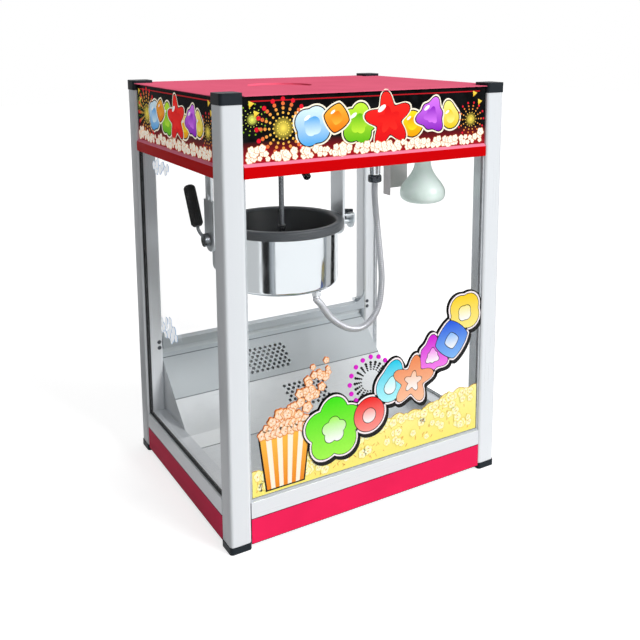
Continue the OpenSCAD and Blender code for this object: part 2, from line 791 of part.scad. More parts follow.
module motor_bracket() color(STEEL) translate([kettle_x, 0, 0]) difference() {
    side = motor_bridge_w / 2;
    translate([-motor_bracket_len / 2, 0, 0]) along_x(motor_bracket_len) polygon(bent([
        [-side - motor_foot_w, header_top], [-side, header_top], [-side, motor_z - sheet],
        [side, motor_z - sheet], [side, header_top], [side + motor_foot_w, header_top]], sheet));
    translate([0, 0, motor_z - sheet - cut]) cylinder(h = sheet + 2 * cut, r = spindle_r + 4);
}

module gearmotor() color(DARK) translate([kettle_x, 0, motor_z]) difference() {
    union() {
        translate([-gearbox[0] / 2, -gearbox[1] / 2, 0]) cube(gearbox);
        translate([gearbox[0] / 2, 0, gearbox[2] - motor_r + 2]) rod_x(motor_r, motor_len);
    }
    translate([0, 0, -cut]) cylinder(h = 30, r = spindle_r + run_gap);
}

// The lever hangs between two lugs and lifts the coupler off the shaft
module release_lever() color(BLACK) translate([lever_at[0], lever_at[1], lever_z]) {
    translate([0, -lug_gap - 3, 0]) rod_y(hinge_pin_r, 2 * lug_gap + 6);
    translate([0, -6, 0]) rod_y(6, 12);
    rotate([0, 180 - lever_lean, 0]) {
        cylinder(h = lever_len - 3, r = lever_r);
        translate([0, 0, lever_len - 3]) cylinder(h = 3, r1 = lever_r, r2 = lever_r - 3);
    }
}

// ---- power conduit ----

// A point of a smooth route through p, at the share t of its length in points
function smooth(p, t) =
    let (n = len(p) - 1, i = min(floor(t * n), n - 1), u = t * n - i,
         a = p[max(i - 1, 0)], b = p[i], c = p[i + 1], d = p[min(i + 2, n)])
    0.5 * (2 * b + u * (c - a) + u * u * (2 * a - 5 * b + 4 * c - d)
           + u * u * u * (3 * b - a - 3 * c + d));

// A round tube swept along route, with flat ends square to its first and last stretch.
// No stretch of the route runs along the reference direction.
module swept_tube(route, r, rings, sides, reference = [0, 1, 0]) {
    path = [for (k = [0 : rings]) smooth(route, k / rings)];
    ways = [for (k = [0 : rings])
        k == 0 ? route[1] - route[0]
        : k == rings ? route[len(route) - 1] - route[len(route) - 2]
        : path[k + 1] - path[k - 1]];
    points = [for (k = [0 : rings], s = [0 : sides - 1])
        let (side = unit(cross(unit(ways[k]), reference)), up = cross(side, unit(ways[k])),
             a = 360 * s / sides)
        path[k] + r * (cos(a) * side + sin(a) * up)];
    walls = [for (k = [0 : rings - 1], s = [0 : sides - 1], half = [0, 1])
        let (next = (s + 1) % sides, low = k * sides, high = low + sides)
        half == 0 ? [low + s, low + next, high + s] : [low + next, high + next, high + s]];
    ends = [[for (s = [sides - 1 : -1 : 0]) s], [for (s = [0 : sides - 1]) rings * sides + s]];
    polyhedron(points, concat(walls, ends));
}

module power_conduit() color(STEEL) swept_tube(conduit_route, conduit_r, conduit_rings, 10);

module conduit_plug() color(STEEL) translate([plug_at[0], plug_at[1], header_z - 3 - plug_h]) {
    cylinder(h = 15, r = plug_r + 2);
    cylinder(h = plug_h, r = plug_r);
}

module conduit_socket() color(BLACK) translate([plug_at[0], plug_at[1], header_z - 3]) {
    cylinder(h = 3, r = plug_r + 5);
    cylinder(h = 3 + sheet + 18, r = plug_r - 2.2);
}

// ---- lamp ----

// Radius of the bulb at the share t of its length, from the face up to the neck
function bulb_r(t) = t < 0.33
    ? lamp_r * sin(90 * pow(t / 0.33, 0.55))
    : lamp_neck_r + (lamp_r - lamp_neck_r) * pow(0.5 + 0.5 * cos(180 * min((t - 0.33) / 0.5, 1)), 0.9);

module lamp_bulb() color("white") {
    steps = 24;
    translate([lamp_x, lamp_y, header_z - holder_h - lamp_len]) rotate_extrude() polygon(concat(
        [[0, lamp_len], [0, 0]],
        [for (i = [1 : steps]) [bulb_r(i / steps), lamp_len * i / steps]]));
}

module lamp_holder() color(BLACK) translate([lamp_x, lamp_y, header_z - holder_h]) {
    cylinder(h = holder_h, r = lamp_neck_r + 4);
    translate([0, 0, holder_h - 3]) cylinder(h = 3, r = lamp_neck_r + 9);
}

module lamp_shield() color(STEEL) {
    left = lamp_x - shield_w;
    back = lamp_y + 40 + shield_flange / 2;
    translate([left, back, header_z - shield_h]) cube([shield_w, sheet, shield_h]);
    translate([left, back - shield_flange, header_z - shield_h - 10])
        cube([sheet, shield_flange + sheet, shield_h + 10]);
}

// ---- switches and cord inlet ----

module rocker_outline() intersection() {
    circle(rocker_h / 2);
    polygon([[-6, -rocker_h], [-6, rocker_h], [3.5, rocker_h], [6.5, 0], [3.5, -rocker_h]]);
}

module rocker(i) color(BLACK)
    translate([i * switch_pitch - rocker_w / 2, rocker_pivot_y, switch_z])
        rotate([-rocker_turn / 2, 0, 0]) along_x(rocker_w) rocker_outline();

module switch_bezels() color(BLACK) for (i = [-1, 0, 1])
    translate([i * switch_pitch, control_y, switch_z]) {
        open = [rocker_w + 0.8, rocker_h + 0.8];
        difference() {
            union() {
                translate([0, bezel_t / 2, 0])
                    cube([open[0] + 2 * bezel_lip, bezel_t, open[1] + 2 * bezel_lip], center = true);
                translate([0, -socket_depth / 2, 0])
                    cube([open[0] + 2 * socket_wall, socket_depth, open[1] + 2 * socket_wall],
                        center = true);
            }
            cube([open[0], 2 * (socket_depth - socket_back), open[1]], center = true);
        }
    }

module cord_inlet() color(BLACK) translate([inlet_at[0], control_y, inlet_at[1]]) difference() {
    union() {
        rotate([-90, 0, 0]) cylinder(h = 5, r = inlet_r + 6, $fn = 6);
        translate([0, 5, 0]) rod_y(inlet_r + 3.5, 5);
        translate([0, -8, 0]) rod_y(inlet_r + 2.9, 8);
    }
    translate([0, -8 - cut, 0]) rod_y(inlet_r, 18 + 2 * cut);
}

module frame_screws() color(DARK) {
    for (x = [-1, 1], z = [4, 16])
        translate([x * (bay_x + 2 * screw_r), bay_y - screw_h, rear_rail_z + z]) rod_y(screw_r, screw_h);
    for (x = [-1, 1], z = [16, header_h - 30])
        translate([x * (bay_x - 14), control_y, header_z + z]) rod_y(screw_r, screw_h);
    for (at = [[arm_left_x + 12, 0], [arm_right_x + arm_t + 12, -12], [arm_right_x + arm_t + 12, 12]])
        translate([at[0], at[1], header_z - arm_t - screw_h]) cylinder(h = screw_h, r = screw_r, $fn = 6);
}

post(0, 0);  // post_front_left
post(1, 0);  // post_front_right
post(0, 1);  // post_rear_left
post(1, 1);  // post_rear_right
top_caps();
corner_feet();
skirt("front");  // skirt_front
skirt("left");  // skirt_left
skirt("right");  // skirt_right
back_panel();
lower_rails();
rear_rail();
bottom_plate();
floor_pan();
slope_gussets();
kernel_drawer();
drawer_knob();
header_floor();
sign("front");  // sign_front
sign("left");  // sign_left
sign("right");  // sign_right
control_panel();
header_trims();
roof_panel();
glass("front");  // glass_front
glass("left");  // glass_left
glass("right");  // glass_right
glass_gaskets();
door(0);  // door_left
door(1);  // door_right
door_knob(0);  // door_knob_left
door_knob(1);  // door_knob_right
door_hinges();
hanger_arm_left();
hanger_arm_right();
kettle_shell();
kettle_pot();
heating_plate();
kettle_trunnions();
kettle_gland();
handle_rod();
handle_grip();
kettle_latch();
stirrer();
drive_coupler();
gearmotor();
motor_bracket();
power_conduit();
conduit_plug();
conduit_socket();
lamp_bulb();
lamp_holder();
lamp_shield();
rocker(-1);  // heat_switch
rocker(0);  // stir_switch
rocker(1);  // lamp_switch
switch_bezels();
release_lever();
cord_inlet();
frame_screws();
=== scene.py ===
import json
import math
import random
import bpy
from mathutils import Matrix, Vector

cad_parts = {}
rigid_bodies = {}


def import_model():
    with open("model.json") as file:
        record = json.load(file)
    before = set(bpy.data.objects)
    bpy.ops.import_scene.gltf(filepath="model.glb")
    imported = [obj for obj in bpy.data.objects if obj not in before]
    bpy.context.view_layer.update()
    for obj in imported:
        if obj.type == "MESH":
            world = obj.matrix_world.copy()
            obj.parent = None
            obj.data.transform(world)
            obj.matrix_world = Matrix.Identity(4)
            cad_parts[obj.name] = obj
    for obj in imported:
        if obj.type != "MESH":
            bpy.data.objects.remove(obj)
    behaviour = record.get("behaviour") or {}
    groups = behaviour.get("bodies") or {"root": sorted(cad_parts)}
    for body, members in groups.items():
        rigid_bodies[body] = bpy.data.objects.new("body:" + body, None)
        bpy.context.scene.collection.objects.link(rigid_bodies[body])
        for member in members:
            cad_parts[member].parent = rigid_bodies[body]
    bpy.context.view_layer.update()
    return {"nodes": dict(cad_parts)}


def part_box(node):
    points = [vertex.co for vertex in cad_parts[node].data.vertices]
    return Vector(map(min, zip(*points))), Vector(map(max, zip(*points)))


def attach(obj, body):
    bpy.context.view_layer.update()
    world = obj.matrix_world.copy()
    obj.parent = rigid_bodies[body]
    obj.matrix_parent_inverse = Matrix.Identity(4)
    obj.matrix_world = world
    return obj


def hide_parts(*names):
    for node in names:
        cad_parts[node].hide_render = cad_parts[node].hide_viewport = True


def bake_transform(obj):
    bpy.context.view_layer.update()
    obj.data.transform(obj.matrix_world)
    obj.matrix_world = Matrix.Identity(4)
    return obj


bl_info = {
    "name": "Popcorn Maker",
    "version": (1, 0, 0),
    "blender": (4, 5, 0),
    "location": "3D View > Sidebar > Popcorn Maker",
    "description": "Builds the finished pieces and materials of a popcorn maker around its frame",
    "category": "Object",
}

import bmesh
import bpy
from mathutils import Matrix, Vector

for leftover in list(bpy.data.objects):
    bpy.data.objects.remove(leftover)
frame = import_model()

MM = 0.001


def box(node):
    """The lowest and highest corners of a frame node, in millimetres."""
    return [Vector(corner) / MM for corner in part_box(node)]


def middle(node):
    low, high = box(node)
    return (low + high) / 2


# ---- colours and nodes ----


def colour(code):
    """The linear RGBA of an sRGB hex code."""
    def linear(c):
        return c / 12.92 if c <= 0.04045 else ((c + 0.055) / 1.055) ** 2.4
    return tuple(linear(int(code[i:i + 2], 16) / 255) for i in (1, 3, 5)) + (1.0,)


def blended(first, second, t):
    return tuple(a + (b - a) * t for a, b in zip(first, second))


def add(tree, kind, values=()):
    """Adds a node. Values are its settings by name, and numbers or sources for its inputs."""
    node = tree.nodes.new(kind)
    for key, value in dict(values).items():
        if isinstance(key, str) and hasattr(node, key):
            setattr(node, key, value)
        elif isinstance(value, bpy.types.Node):
            tree.links.new(value.outputs[0], node.inputs[key])
        elif isinstance(value, bpy.types.NodeSocket):
            tree.links.new(value, node.inputs[key])
        else:
            node.inputs[key].default_value = value
    return node


def calc(tree, operation, *terms):
    """The result of a maths node on numbers and sources."""
    values = {"operation": operation, **dict(enumerate(terms))}
    return add(tree, "ShaderNodeMath", values).outputs[0]


def mixed(tree, share, first, second, **settings):
    """The colour at a share of the way from the first to the second."""
    values = {"data_type": "RGBA", 0: share, 6: first, 7: second, **settings}
    return add(tree, "ShaderNodeMix", values).outputs[2]


def spread(tree, source, low, high, reach=(0.3, 0.7)):
    """Values within reach, spread out from low to high."""
    return add(tree, "ShaderNodeMapRange", {
        "From Min": reach[0], "From Max": reach[1], "To Min": low, "To Max": high,
        "Value": source}).outputs[0]


class Finish:
    """A material with one Principled shader, whose noise is measured in millimetres."""

    def __init__(self, name, base, settings):
        self.material = bpy.data.materials.new(name)
        self.material.use_nodes = True
        self.tree = self.material.node_tree
        self.tree.nodes.clear()
        self.base = tuple(base)
        self.shader = add(self.tree, "ShaderNodeBsdfPrincipled",
                          {"Base Color": self.base, **settings})
        add(self.tree, "ShaderNodeOutputMaterial", {"Surface": self.shader})

    def place(self):
        return add(self.tree, "ShaderNodeTexCoord").outputs["Object"]

    def grain(self, size, detail=2.0):
        """Noise with grains of one size, or of sizes along x, y and z."""
        sizes = size if isinstance(size, (tuple, list)) else (size, size, size)
        scaled = add(self.tree, "ShaderNodeMapping", {
            "Scale": [1 / (s * MM) for s in sizes], "Vector": self.place()})
        return add(self.tree, "ShaderNodeTexNoise", {
            "Scale": 1.0, "Detail": detail, "Vector": scaled}).outputs[0]

    def streaks(self, along, width, length, detail):
        """Noise drawn out along an axis."""
        return self.grain([length if axis == along else width for axis in "xyz"], detail)

    def set(self, socket, source):
        self.tree.links.new(source, self.shader.inputs[socket])

    def tint(self, source, toward, share=1.0, reach=(0.3, 0.7)):
        """Base colour that wanders with the noise, a share of the way to another colour."""
        other = blended(self.base, toward, share)
        paint = mixed(self.tree, spread(self.tree, source, 0.0, 1.0, reach), self.base, other)
        self.set("Base Color", paint)
        return paint

    def lines(self, paint, axis, places, width, ink):
        """Draws lines of a width over the base colour, at places along an axis."""
        apart = add(self.tree, "ShaderNodeSeparateXYZ", {0: self.place()})
        for at in places:
            line = calc(self.tree, "COMPARE", apart.outputs[axis], at * MM, width / 2 * MM)
            paint = mixed(self.tree, line, paint, ink)
        self.set("Base Color", paint)

    def rough(self, source, low, high):
        self.set("Roughness", spread(self.tree, source, low, high))

    def bump(self, source, height):
        """Relief of a height."""
        self.set("Normal", add(self.tree, "ShaderNodeBump", {
            "Distance": height * MM, "Height": source}).outputs[0])


# ---- finishes ----


def anodised_aluminium(name, along, metal):
    # Extruded 6063, etched and clear anodised: satin silver with fine die lines along its length
    finish = Finish(name, bpy.context.scene.cabinet_style.aluminium, {
        "Metallic": metal, "Roughness": 0.3, "Specular IOR Level": 0.1})
    # Die lines are about 0.1 mm apart, drawn 0.8 mm apart so that they show
    lines = finish.streaks(along, 0.8, 160.0, 3.0)
    finish.tint(lines, (0.55, 0.58, 0.62, 1), 0.08)
    finish.rough(lines, 0.27, 0.33)
    finish.bump(lines, 0.002)
    return finish.material


def enamel(name, base, gloss, ledge_highlight=None, shadow_gaps=()):
    # Stoved polyester powder coat: deep even red with a slight orange peel. A ledge highlight, if
    # given, is a paler colour painted on the faces that look up: a painted highlight.
    # Shadow gaps are the heights, in millimetres, where it meets bare metal or ends: the dark
    # lines drawn there are painted shade.
    finish = Finish(name, base, {"Roughness": 0.34, "Specular IOR Level": gloss})
    tree = finish.tree
    paint = finish.tint(finish.grain(70.0), (0.3, 0.0, 0.01, 1), 0.1)
    if ledge_highlight:
        # Painted highlight: faces that look up are mixed toward the paler colour
        face = add(tree, "ShaderNodeSeparateXYZ", {
            0: add(tree, "ShaderNodeNewGeometry").outputs["Normal"]})
        highlight_share = spread(tree, face.outputs["Z"], 0.0, 1.0, (0.5, 0.72))
        finish.set("Base Color", mixed(tree, highlight_share, paint, ledge_highlight))
    if shadow_gaps:
        # Painted shade: a dark line at each given height
        finish.lines(paint, "Z", shadow_gaps, 2.2, colour("#5A1428"))
    # The peel of a powder coat is 2 to 3 mm from crest to crest
    finish.bump(finish.grain(2.4, 1.0), 0.006)
    return finish.material


def moulded_plastic(name, code, roughness=0.45, gloss=0.25):
    # Injection-moulded ABS with a fine spark-eroded texture: dull, with soft highlights
    finish = Finish(name, colour(code), {"Roughness": roughness, "Specular IOR Level": gloss})
    # Spark erosion leaves pits of 0.2 mm, drawn 0.7 mm wide so that they show
    pits = finish.grain(0.7)
    finish.tint(finish.grain(14.0), (0.1, 0.11, 0.12, 1), 0.06)
    finish.rough(pits, roughness - 0.07, roughness + 0.08)
    finish.bump(pits, 0.03)
    return finish.material


def brushed_stainless(name, code, along="x", roughness=0.34, metal=0.85, shaded_folds=()):
    # AISI 430 sheet with a belt-brushed No. 4 finish: grey, streaked along the rolling direction.
    # Shaded folds are the y of its folds, in millimetres: dark lines of painted shade, with
    # painted shade on the steel behind the second one as well
    finish = Finish(name, colour(code), {
        "Metallic": metal, "Roughness": roughness, "Anisotropic": 0.35})
    # Brush marks are 0.1 mm wide and 20 to 60 mm long, drawn 0.5 mm wide so that they show
    marks = finish.streaks(along, 0.5, 45.0, 4.0)
    steel = finish.tint(finish.grain((60.0, 60.0, 90.0)), (0.35, 0.38, 0.4, 1), 0.15)
    if shaded_folds:
        # Painted shade: the steel behind the second fold is duller, and each fold is a dark line
        apart = add(finish.tree, "ShaderNodeSeparateXYZ", {0: finish.place()})
        behind = calc(finish.tree, "GREATER_THAN", apart.outputs["Y"], shaded_folds[1] * MM)
        steel = mixed(finish.tree, behind, steel, colour("#CAD1D5"))
        finish.lines(steel, "Y", shaded_folds, 1.4, colour("#6E767A"))
    finish.rough(marks, roughness - 0.08, roughness + 0.1)
    finish.bump(marks, 0.01)
    return finish.material


def polished_stainless(name, code, roughness=0.06):
    # AISI 304 buffed to a mirror: bright, with faint buffing lines round it and finger haze
    finish = Finish(name, colour(code), {"Metallic": 1.0, "Roughness": roughness})
    haze = finish.grain((26.0, 26.0, 34.0), 3.0)
    finish.rough(haze, roughness * 0.6, roughness * 2.0)
    finish.bump(finish.grain((30.0, 30.0, 0.5), 3.0), 0.001)
    return finish.material


def non_stick(name, code):
    # PTFE coating sprayed on spun aluminium: charcoal, satin, with a faint pebbled grain
    finish = Finish(name, colour(code), {"Roughness": 0.38, "Specular IOR Level": 0.3})
    wear = finish.grain(24.0, 3.0)
    finish.tint(wear, (0.2, 0.21, 0.22, 1), 0.06)
    finish.rough(wear, 0.3, 0.48)
    finish.bump(finish.grain(1.2), 0.02)
    return finish.material


def clear_pane(name, facing, glancing, tint="#FFFFFF"):
    # Float glass or cast acrylic, polished on both faces: nothing but its reflections
    finish = Finish(name, colour(tint), {"Metallic": 1.0, "Roughness": 0.03})
    angle = add(finish.tree, "ShaderNodeLayerWeight", {"Blend": 0.5})
    finish.set("Alpha", spread(finish.tree, angle.outputs["Facing"], facing, glancing,
                               (0.45, 1.0)))
    finish.rough(finish.grain((18.0, 18.0, 30.0), 3.0), 0.02, 0.06)
    finish.bump(finish.grain(160.0, 1.0), 0.02)
    return finish.material


def nitrile_rubber(name, code="#151618", worn="#2B2D30"):
    # Extruded nitrile section: matt, with a little bloom on its surface
    finish = Finish(name, colour(code), {"Roughness": 0.62, "Specular IOR Level": 0.35})
    finish.tint(finish.grain(9.0, 3.0), colour(worn))
    finish.bump(finish.grain(0.8), 0.02)
    return finish.material


def chromed_steel(name, code="#D8DCE0"):
    # Decorative chrome over nickel: cool, mirror bright, with a faint haze
    finish = Finish(name, colour(code), {"Metallic": 1.0, "Roughness": 0.12})
    finish.rough(finish.grain(12.0, 3.0), 0.08, 0.2)
    finish.bump(finish.grain(1.5), 0.002)
    return finish.material


def opal_glass(name):
    # Blown reflector bulb, acid-frosted on the outside: a milky, faintly green white, with a
    # faint painted glow that lightens it where the header shades it
    finish = Finish(name, colour("#E6F4EE"), {
        "Roughness": 0.3, "Coat Weight": 0.15, "Coat Roughness": 0.15,
        "Emission Color": colour("#DDF2EA"), "Emission Strength": 0.17})
    frost = finish.grain(1.0, 3.0)
    finish.tint(finish.grain(30.0), colour("#D8EAE2"))
    finish.rough(frost, 0.22, 0.36)
    finish.bump(frost, 0.006)
    return finish.material


def glazed_porcelain(name):
    # Slip-cast steatite, glazed and fired: warm white with a glassy skin
    finish = Finish(name, colour("#F0EFEA"), {
        "Roughness": 0.18, "Coat Weight": 0.5, "Coat Roughness": 0.05})
    finish.tint(finish.grain(1.4, 3.0), colour("#DCD8CC"), reach=(0.45, 0.8))
    finish.bump(finish.grain(5.0), 0.02)
    return finish.material


def machine_enamel(name, code):
    # Hammered grey enamel on a cast gearbox and motor
    finish = Finish(name, colour(code), {"Roughness": 0.4, "Metallic": 0.3})
    hammer = add(finish.tree, "ShaderNodeTexVoronoi", {
        "Scale": 1 / (2.5 * MM), "Vector": finish.place()}).outputs[0]
    finish.tint(hammer, (0.4, 0.42, 0.44, 1), 0.3)
    finish.bump(hammer, 0.08)
    return finish.material


def printed_vinyl(name, roughness=0.35, painted_glow=0.0):
    # Solvent inks on clear vinyl film: flat bright colours, with a painted glow of a given share:
    # the ink gives off light, though no lamp lights it
    finish = Finish(name, WHITE, {
        "Roughness": roughness, "Specular IOR Level": 0.2 - 0.3 * painted_glow, "Emission Strength": painted_glow})
    ink = add(finish.tree, "ShaderNodeAttribute", {"attribute_name": "ink"}).outputs["Color"]
    # Ink density varies a little over a few millimetres, and the ink is darkened by as much as
    # its painted glow adds
    shade = spread(finish.tree, finish.grain(3.0), 0.96 - 0.6 * painted_glow, 1.0 - 0.6 * painted_glow)
    finish.set("Base Color", mixed(finish.tree, 1.0, ink, shade, blend_type="MULTIPLY"))
    finish.set("Emission Color", ink)
    return finish.material


def zinc_plated(name, code):
    # Bright zinc plate, passivated and handled: grey with darker blotches
    finish = Finish(name, colour(code), {"Metallic": 0.9, "Roughness": 0.32})
    blotch = finish.grain(2.0, 3.0)
    finish.tint(blotch, (0.1, 0.1, 0.11, 1), 0.3)
    finish.bump(blotch, 0.004)
    return finish.material


finishes = {}


def make_finishes(style):
    skirt_low, skirt_high = box("skirt_front")
    finishes.update({
        "post": anodised_aluminium("anodised_aluminium_upright", "z", 0.04),
        # The right posts take a copy of this finish that mirrors more of the white surroundings:
        # painted light on them
        "post_painted_light": anodised_aluminium("anodised_aluminium_upright_painted_light", "z", 0.4),
        "rail": anodised_aluminium("anodised_aluminium_rail", "x", 0.2),
        # The dark lines at the skirts' top and bottom edges are painted shade
        "enamel": enamel("crimson_powder_coat", style.enamel, 0.01,
                         shadow_gaps=(skirt_low.z, skirt_high.z)),
        # The trims' upward faces turn pale pink: a painted highlight
        "trim": enamel("red_powder_coat", style.trim, 0.02, colour("#FA8CAA")),
        # The roof's paler pink is painted light from above
        "roof": enamel("roof_powder_coat", style.roof, 0.0),
        "black": moulded_plastic("black_abs", "#1E252B", gloss=0.1),
        "grip": moulded_plastic("black_phenolic", "#0B0C0D", 0.4, 0.08),
        "mark": moulded_plastic("white_pad_print", "#E8EAEC"),
        "sheet": brushed_stainless("brushed_stainless_sheet", "#F2F6F9", metal=0.2),
        # The floor's dark fold lines and duller upper slope are painted shade
        "floor": brushed_stainless("brushed_stainless_floor", "#F2F6F9", metal=0.2,
                                   shaded_folds=(42, 126, 194.5)),
        "rear": brushed_stainless("brushed_stainless_rail", "#B8C0C6", metal=0.3),
        "plate": brushed_stainless("brushed_stainless_bracket", "#E2E8EC", "z", metal=0.85),
        "shield": brushed_stainless("brushed_stainless_shield", "#CCC6C6", "z", metal=0.45),
        "mirror": polished_stainless("polished_stainless", "#DEE4E8", 0.09),
        "rod": polished_stainless("drawn_stainless", "#6C7074", 0.24),
        "hose": brushed_stainless("strip_wound_steel", "#D6D8DE", "z", 0.3, 0.35),
        "rim": non_stick("hard_anodised_rim", "#4A4E52"),
        "coating": non_stick("non_stick_coating", "#1B1F22"),
        "glass": clear_pane("float_glass", 0.004, 0.15),
        "acrylic": clear_pane("cast_acrylic", 0.03, 0.45),
        "clear_knob": clear_pane("moulded_acrylic", 0.1, 0.7, "#DCE6EA"),
        "rubber": nitrile_rubber("nitrile_rubber"),
        "pale_rubber": nitrile_rubber("silicone_rubber", "#B4BABE", "#C6CACE"),
        "chrome": chromed_steel("chromed_steel"),
        "dark_chrome": chromed_steel("black_nickel", "#4A4E54"),
        "bulb": opal_glass("opal_glass"),
        "porcelain": glazed_porcelain("glazed_porcelain"),
        "motor": machine_enamel("hammered_enamel", "#4B5258"),
        "print": printed_vinyl("printed_vinyl"),
        # The header signs' and the left pane's prints glow: painted light
        "glow_print": printed_vinyl("glowing_vinyl", 0.5, 0.4),
        "glowing_frost_print": printed_vinyl("frosted_glowing_vinyl", 0.6, 0.62),
        "sign": moulded_plastic("black_acrylic_sign", "#060607", 0.3, 0.02),
        "screw": zinc_plated("dark_zinc_plate", "#5C6268"),
        "zinc": zinc_plated("zinc_plate", "#AEB4B8"),
    })


# ---- meshes, all drawn in millimetres ----


def mesh_of(form, name):
    """Turns a form into a mesh and frees it."""
    mesh = bpy.data.meshes.new(name)
    form.to_mesh(mesh)
    form.free()
    return mesh


def new_piece(name, form, body, finish, replaces="", bevel=0.0, sharp=35.0, smooth=True):
    """Turns a form in millimetres into a piece that rides on a body."""
    mesh = mesh_of(form, name) if isinstance(form, bmesh.types.BMesh) else form
    mesh.name = name
    mesh.transform(Matrix.Scale(MM, 4))
    mesh.materials.clear()
    mesh.materials.append(finishes[finish])
    mesh.polygons.foreach_set("use_smooth", [smooth] * len(mesh.polygons))
    if smooth:
        mesh.set_sharp_from_angle(angle=math.radians(sharp))
    piece = scratch(mesh, name)
    if bevel:
        edge = piece.modifiers.new("Edges", "BEVEL")
        edge.width = bevel * MM
        edge.segments = 2
        edge.limit_method = "ANGLE"
        edge.angle_limit = math.radians(sharp)
        edge.harden_normals = True
    if body:
        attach(piece, body)
    if replaces:
        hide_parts(replaces)
    return piece


def scratch(data, name="scratch"):
    """An object for the data, linked to the scene."""
    base = bpy.data.objects.new(name, data)
    bpy.context.scene.collection.objects.link(base)
    return base


def outward(form):
    """Merges the corners that meet, and turns every face outwards."""
    bmesh.ops.remove_doubles(form, verts=form.verts, dist=1e-4)
    bmesh.ops.recalc_face_normals(form, faces=form.faces)
    return form


def strip(form, low, high):
    """Faces between two rings of corners. A ring of one corner is a tip."""
    steps = max(len(low), len(high))
    for k in range(steps if len(low) + len(high) > 2 else 0):
        n = (k + 1) % steps
        if len(low) == 1:
            form.faces.new((low[0], high[n], high[k]))
        elif len(high) == 1:
            form.faces.new((low[k], low[n], high[0]))
        else:
            form.faces.new((low[k], low[n], high[n], high[k]))


def turned(profile, at=(0, 0, 0), way=(0, 0, 1), steps=64, ridges=0, ridge_depth=0.0, span=None):
    """Turns [radius, height] points round an axis. Ridges, if any, run along it within span."""
    form = bmesh.new()
    lean = Vector((0, 0, 1)).rotation_difference(Vector(way).normalized()).to_matrix()
    rings = []
    for radius, height in profile:
        ring = []
        for k in range(steps if radius > 1e-6 else 1):
            a = 2 * math.pi * k / steps
            r = radius
            if ridges and span[0] < height < span[1]:
                r -= ridge_depth * (0.5 - 0.5 * math.cos(ridges * a))
            ring.append(form.verts.new(
                Vector(at) + lean @ Vector((r * math.cos(a), r * math.sin(a), height))))
        rings.append(ring)
    for low, high in zip(rings, rings[1:]):
        strip(form, low, high)
    return outward(form)


def arc(centre, radius, start, end, steps=6):
    """Points [x, y] on an arc from one angle to another, in degrees."""
    angles = [math.radians(start + (end - start) * k / steps) for k in range(steps + 1)]
    return [(centre[0] + radius * math.cos(a), centre[1] + radius * math.sin(a)) for a in angles]


def hexagon(radius):
    """The corners of a hexagon."""
    return arc((0, 0), radius, 0, 300, 5)


def smooth_route(points, steps):
    """Points on a Catmull-Rom curve through the given ones."""
    n = len(points) - 1
    route = []
    for k in range(steps + 1):
        t = k / steps * n
        i = min(int(t), n - 1)
        u = t - i
        a, b = Vector(points[max(i - 1, 0)]), Vector(points[i])
        c, d = Vector(points[i + 1]), Vector(points[min(i + 2, n)])
        route.append(0.5 * (2 * b + u * (c - a) + u * u * (2 * a - 5 * b + 4 * c - d)
                            + u ** 3 * (3 * b - a - 3 * c + d)))
    return route


def extruded(outline, depth, matrix):
    """A flat outline [x, y] given a depth along z, then placed by a matrix."""
    form = bmesh.new()
    low = [form.verts.new((x, y, 0)) for x, y in outline]
    high = [form.verts.new((x, y, depth)) for x, y in outline]
    form.faces.new(low[::-1])
    form.faces.new(high)
    strip(form, low, high)
    form.transform(matrix)
    return outward(form)


def joined(*forms):
    """Several forms as one."""
    whole = bmesh.new()
    for form in forms:
        mesh = mesh_of(form, "part")
        whole.from_mesh(mesh)
        bpy.data.meshes.remove(mesh)
    return whole


def copy_of(node):
    """A frame node's mesh as a merged form in millimetres, with its flat faces made whole."""
    form = bmesh.new()
    form.from_mesh(frame["nodes"][node].data)
    form.transform(Matrix.Scale(1 / MM, 4))
    bmesh.ops.remove_doubles(form, verts=form.verts, dist=1e-3)
    bmesh.ops.dissolve_limit(form, angle_limit=math.radians(0.5), verts=form.verts,
                             edges=form.edges)
    return form


def edged(node, finish, bevel=0.5, body="cabinet"):
    """The frame node with its sharp edges softened."""
    new_piece(node + "_finished", copy_of(node), body, finish, node, bevel)


def dress(node, finish):
    """Gives a frame node a finish and keeps its shape."""
    for material_slot in frame["nodes"][node].material_slots:
        material_slot.material = finishes[finish]


def islands(node):
    """The lowest and highest corners of each solid of a frame node, in millimetres."""
    form = copy_of(node)
    boxes, seen = [], set()
    for first in form.verts:
        if first in seen:
            continue
        group, waiting = [], [first]
        seen.add(first)
        while waiting:
            vert = waiting.pop()
            group.append(vert.co.copy())
            fresh = {edge.other_vert(vert) for edge in vert.link_edges} - seen
            seen |= fresh
            waiting += fresh
        boxes.append([Vector([pick(p[i] for p in group) for i in range(3)])
                      for pick in (min, max)])
    form.free()
    return boxes


# ---- geometry node trees ----


def new_tree(name, inputs):
    """A geometry node tree with a Geometry socket, the named inputs and a Material."""
    tree = bpy.data.node_groups.new(name, "GeometryNodeTree")
    tree.interface.new_socket("Geometry", in_out="OUTPUT", socket_type="NodeSocketGeometry")
    tree.interface.new_socket("Geometry", in_out="INPUT", socket_type="NodeSocketGeometry")
    for label, kind in inputs + [("Material", "Material")]:
        tree.interface.new_socket(label, in_out="INPUT", socket_type="NodeSocket" + kind)
    return tree, add(tree, "NodeGroupInput").outputs


def closed(tree, given, geometry):
    """Makes the geometry real, gives it the material and puts it out."""
    whole = add(tree, "GeometryNodeRealizeInstances", {0: geometry})
    coated = add(tree, "GeometryNodeSetMaterial", {
        "Geometry": whole, "Material": given["Material"]})
    add(tree, "NodeGroupOutput", {0: coated})
    return tree


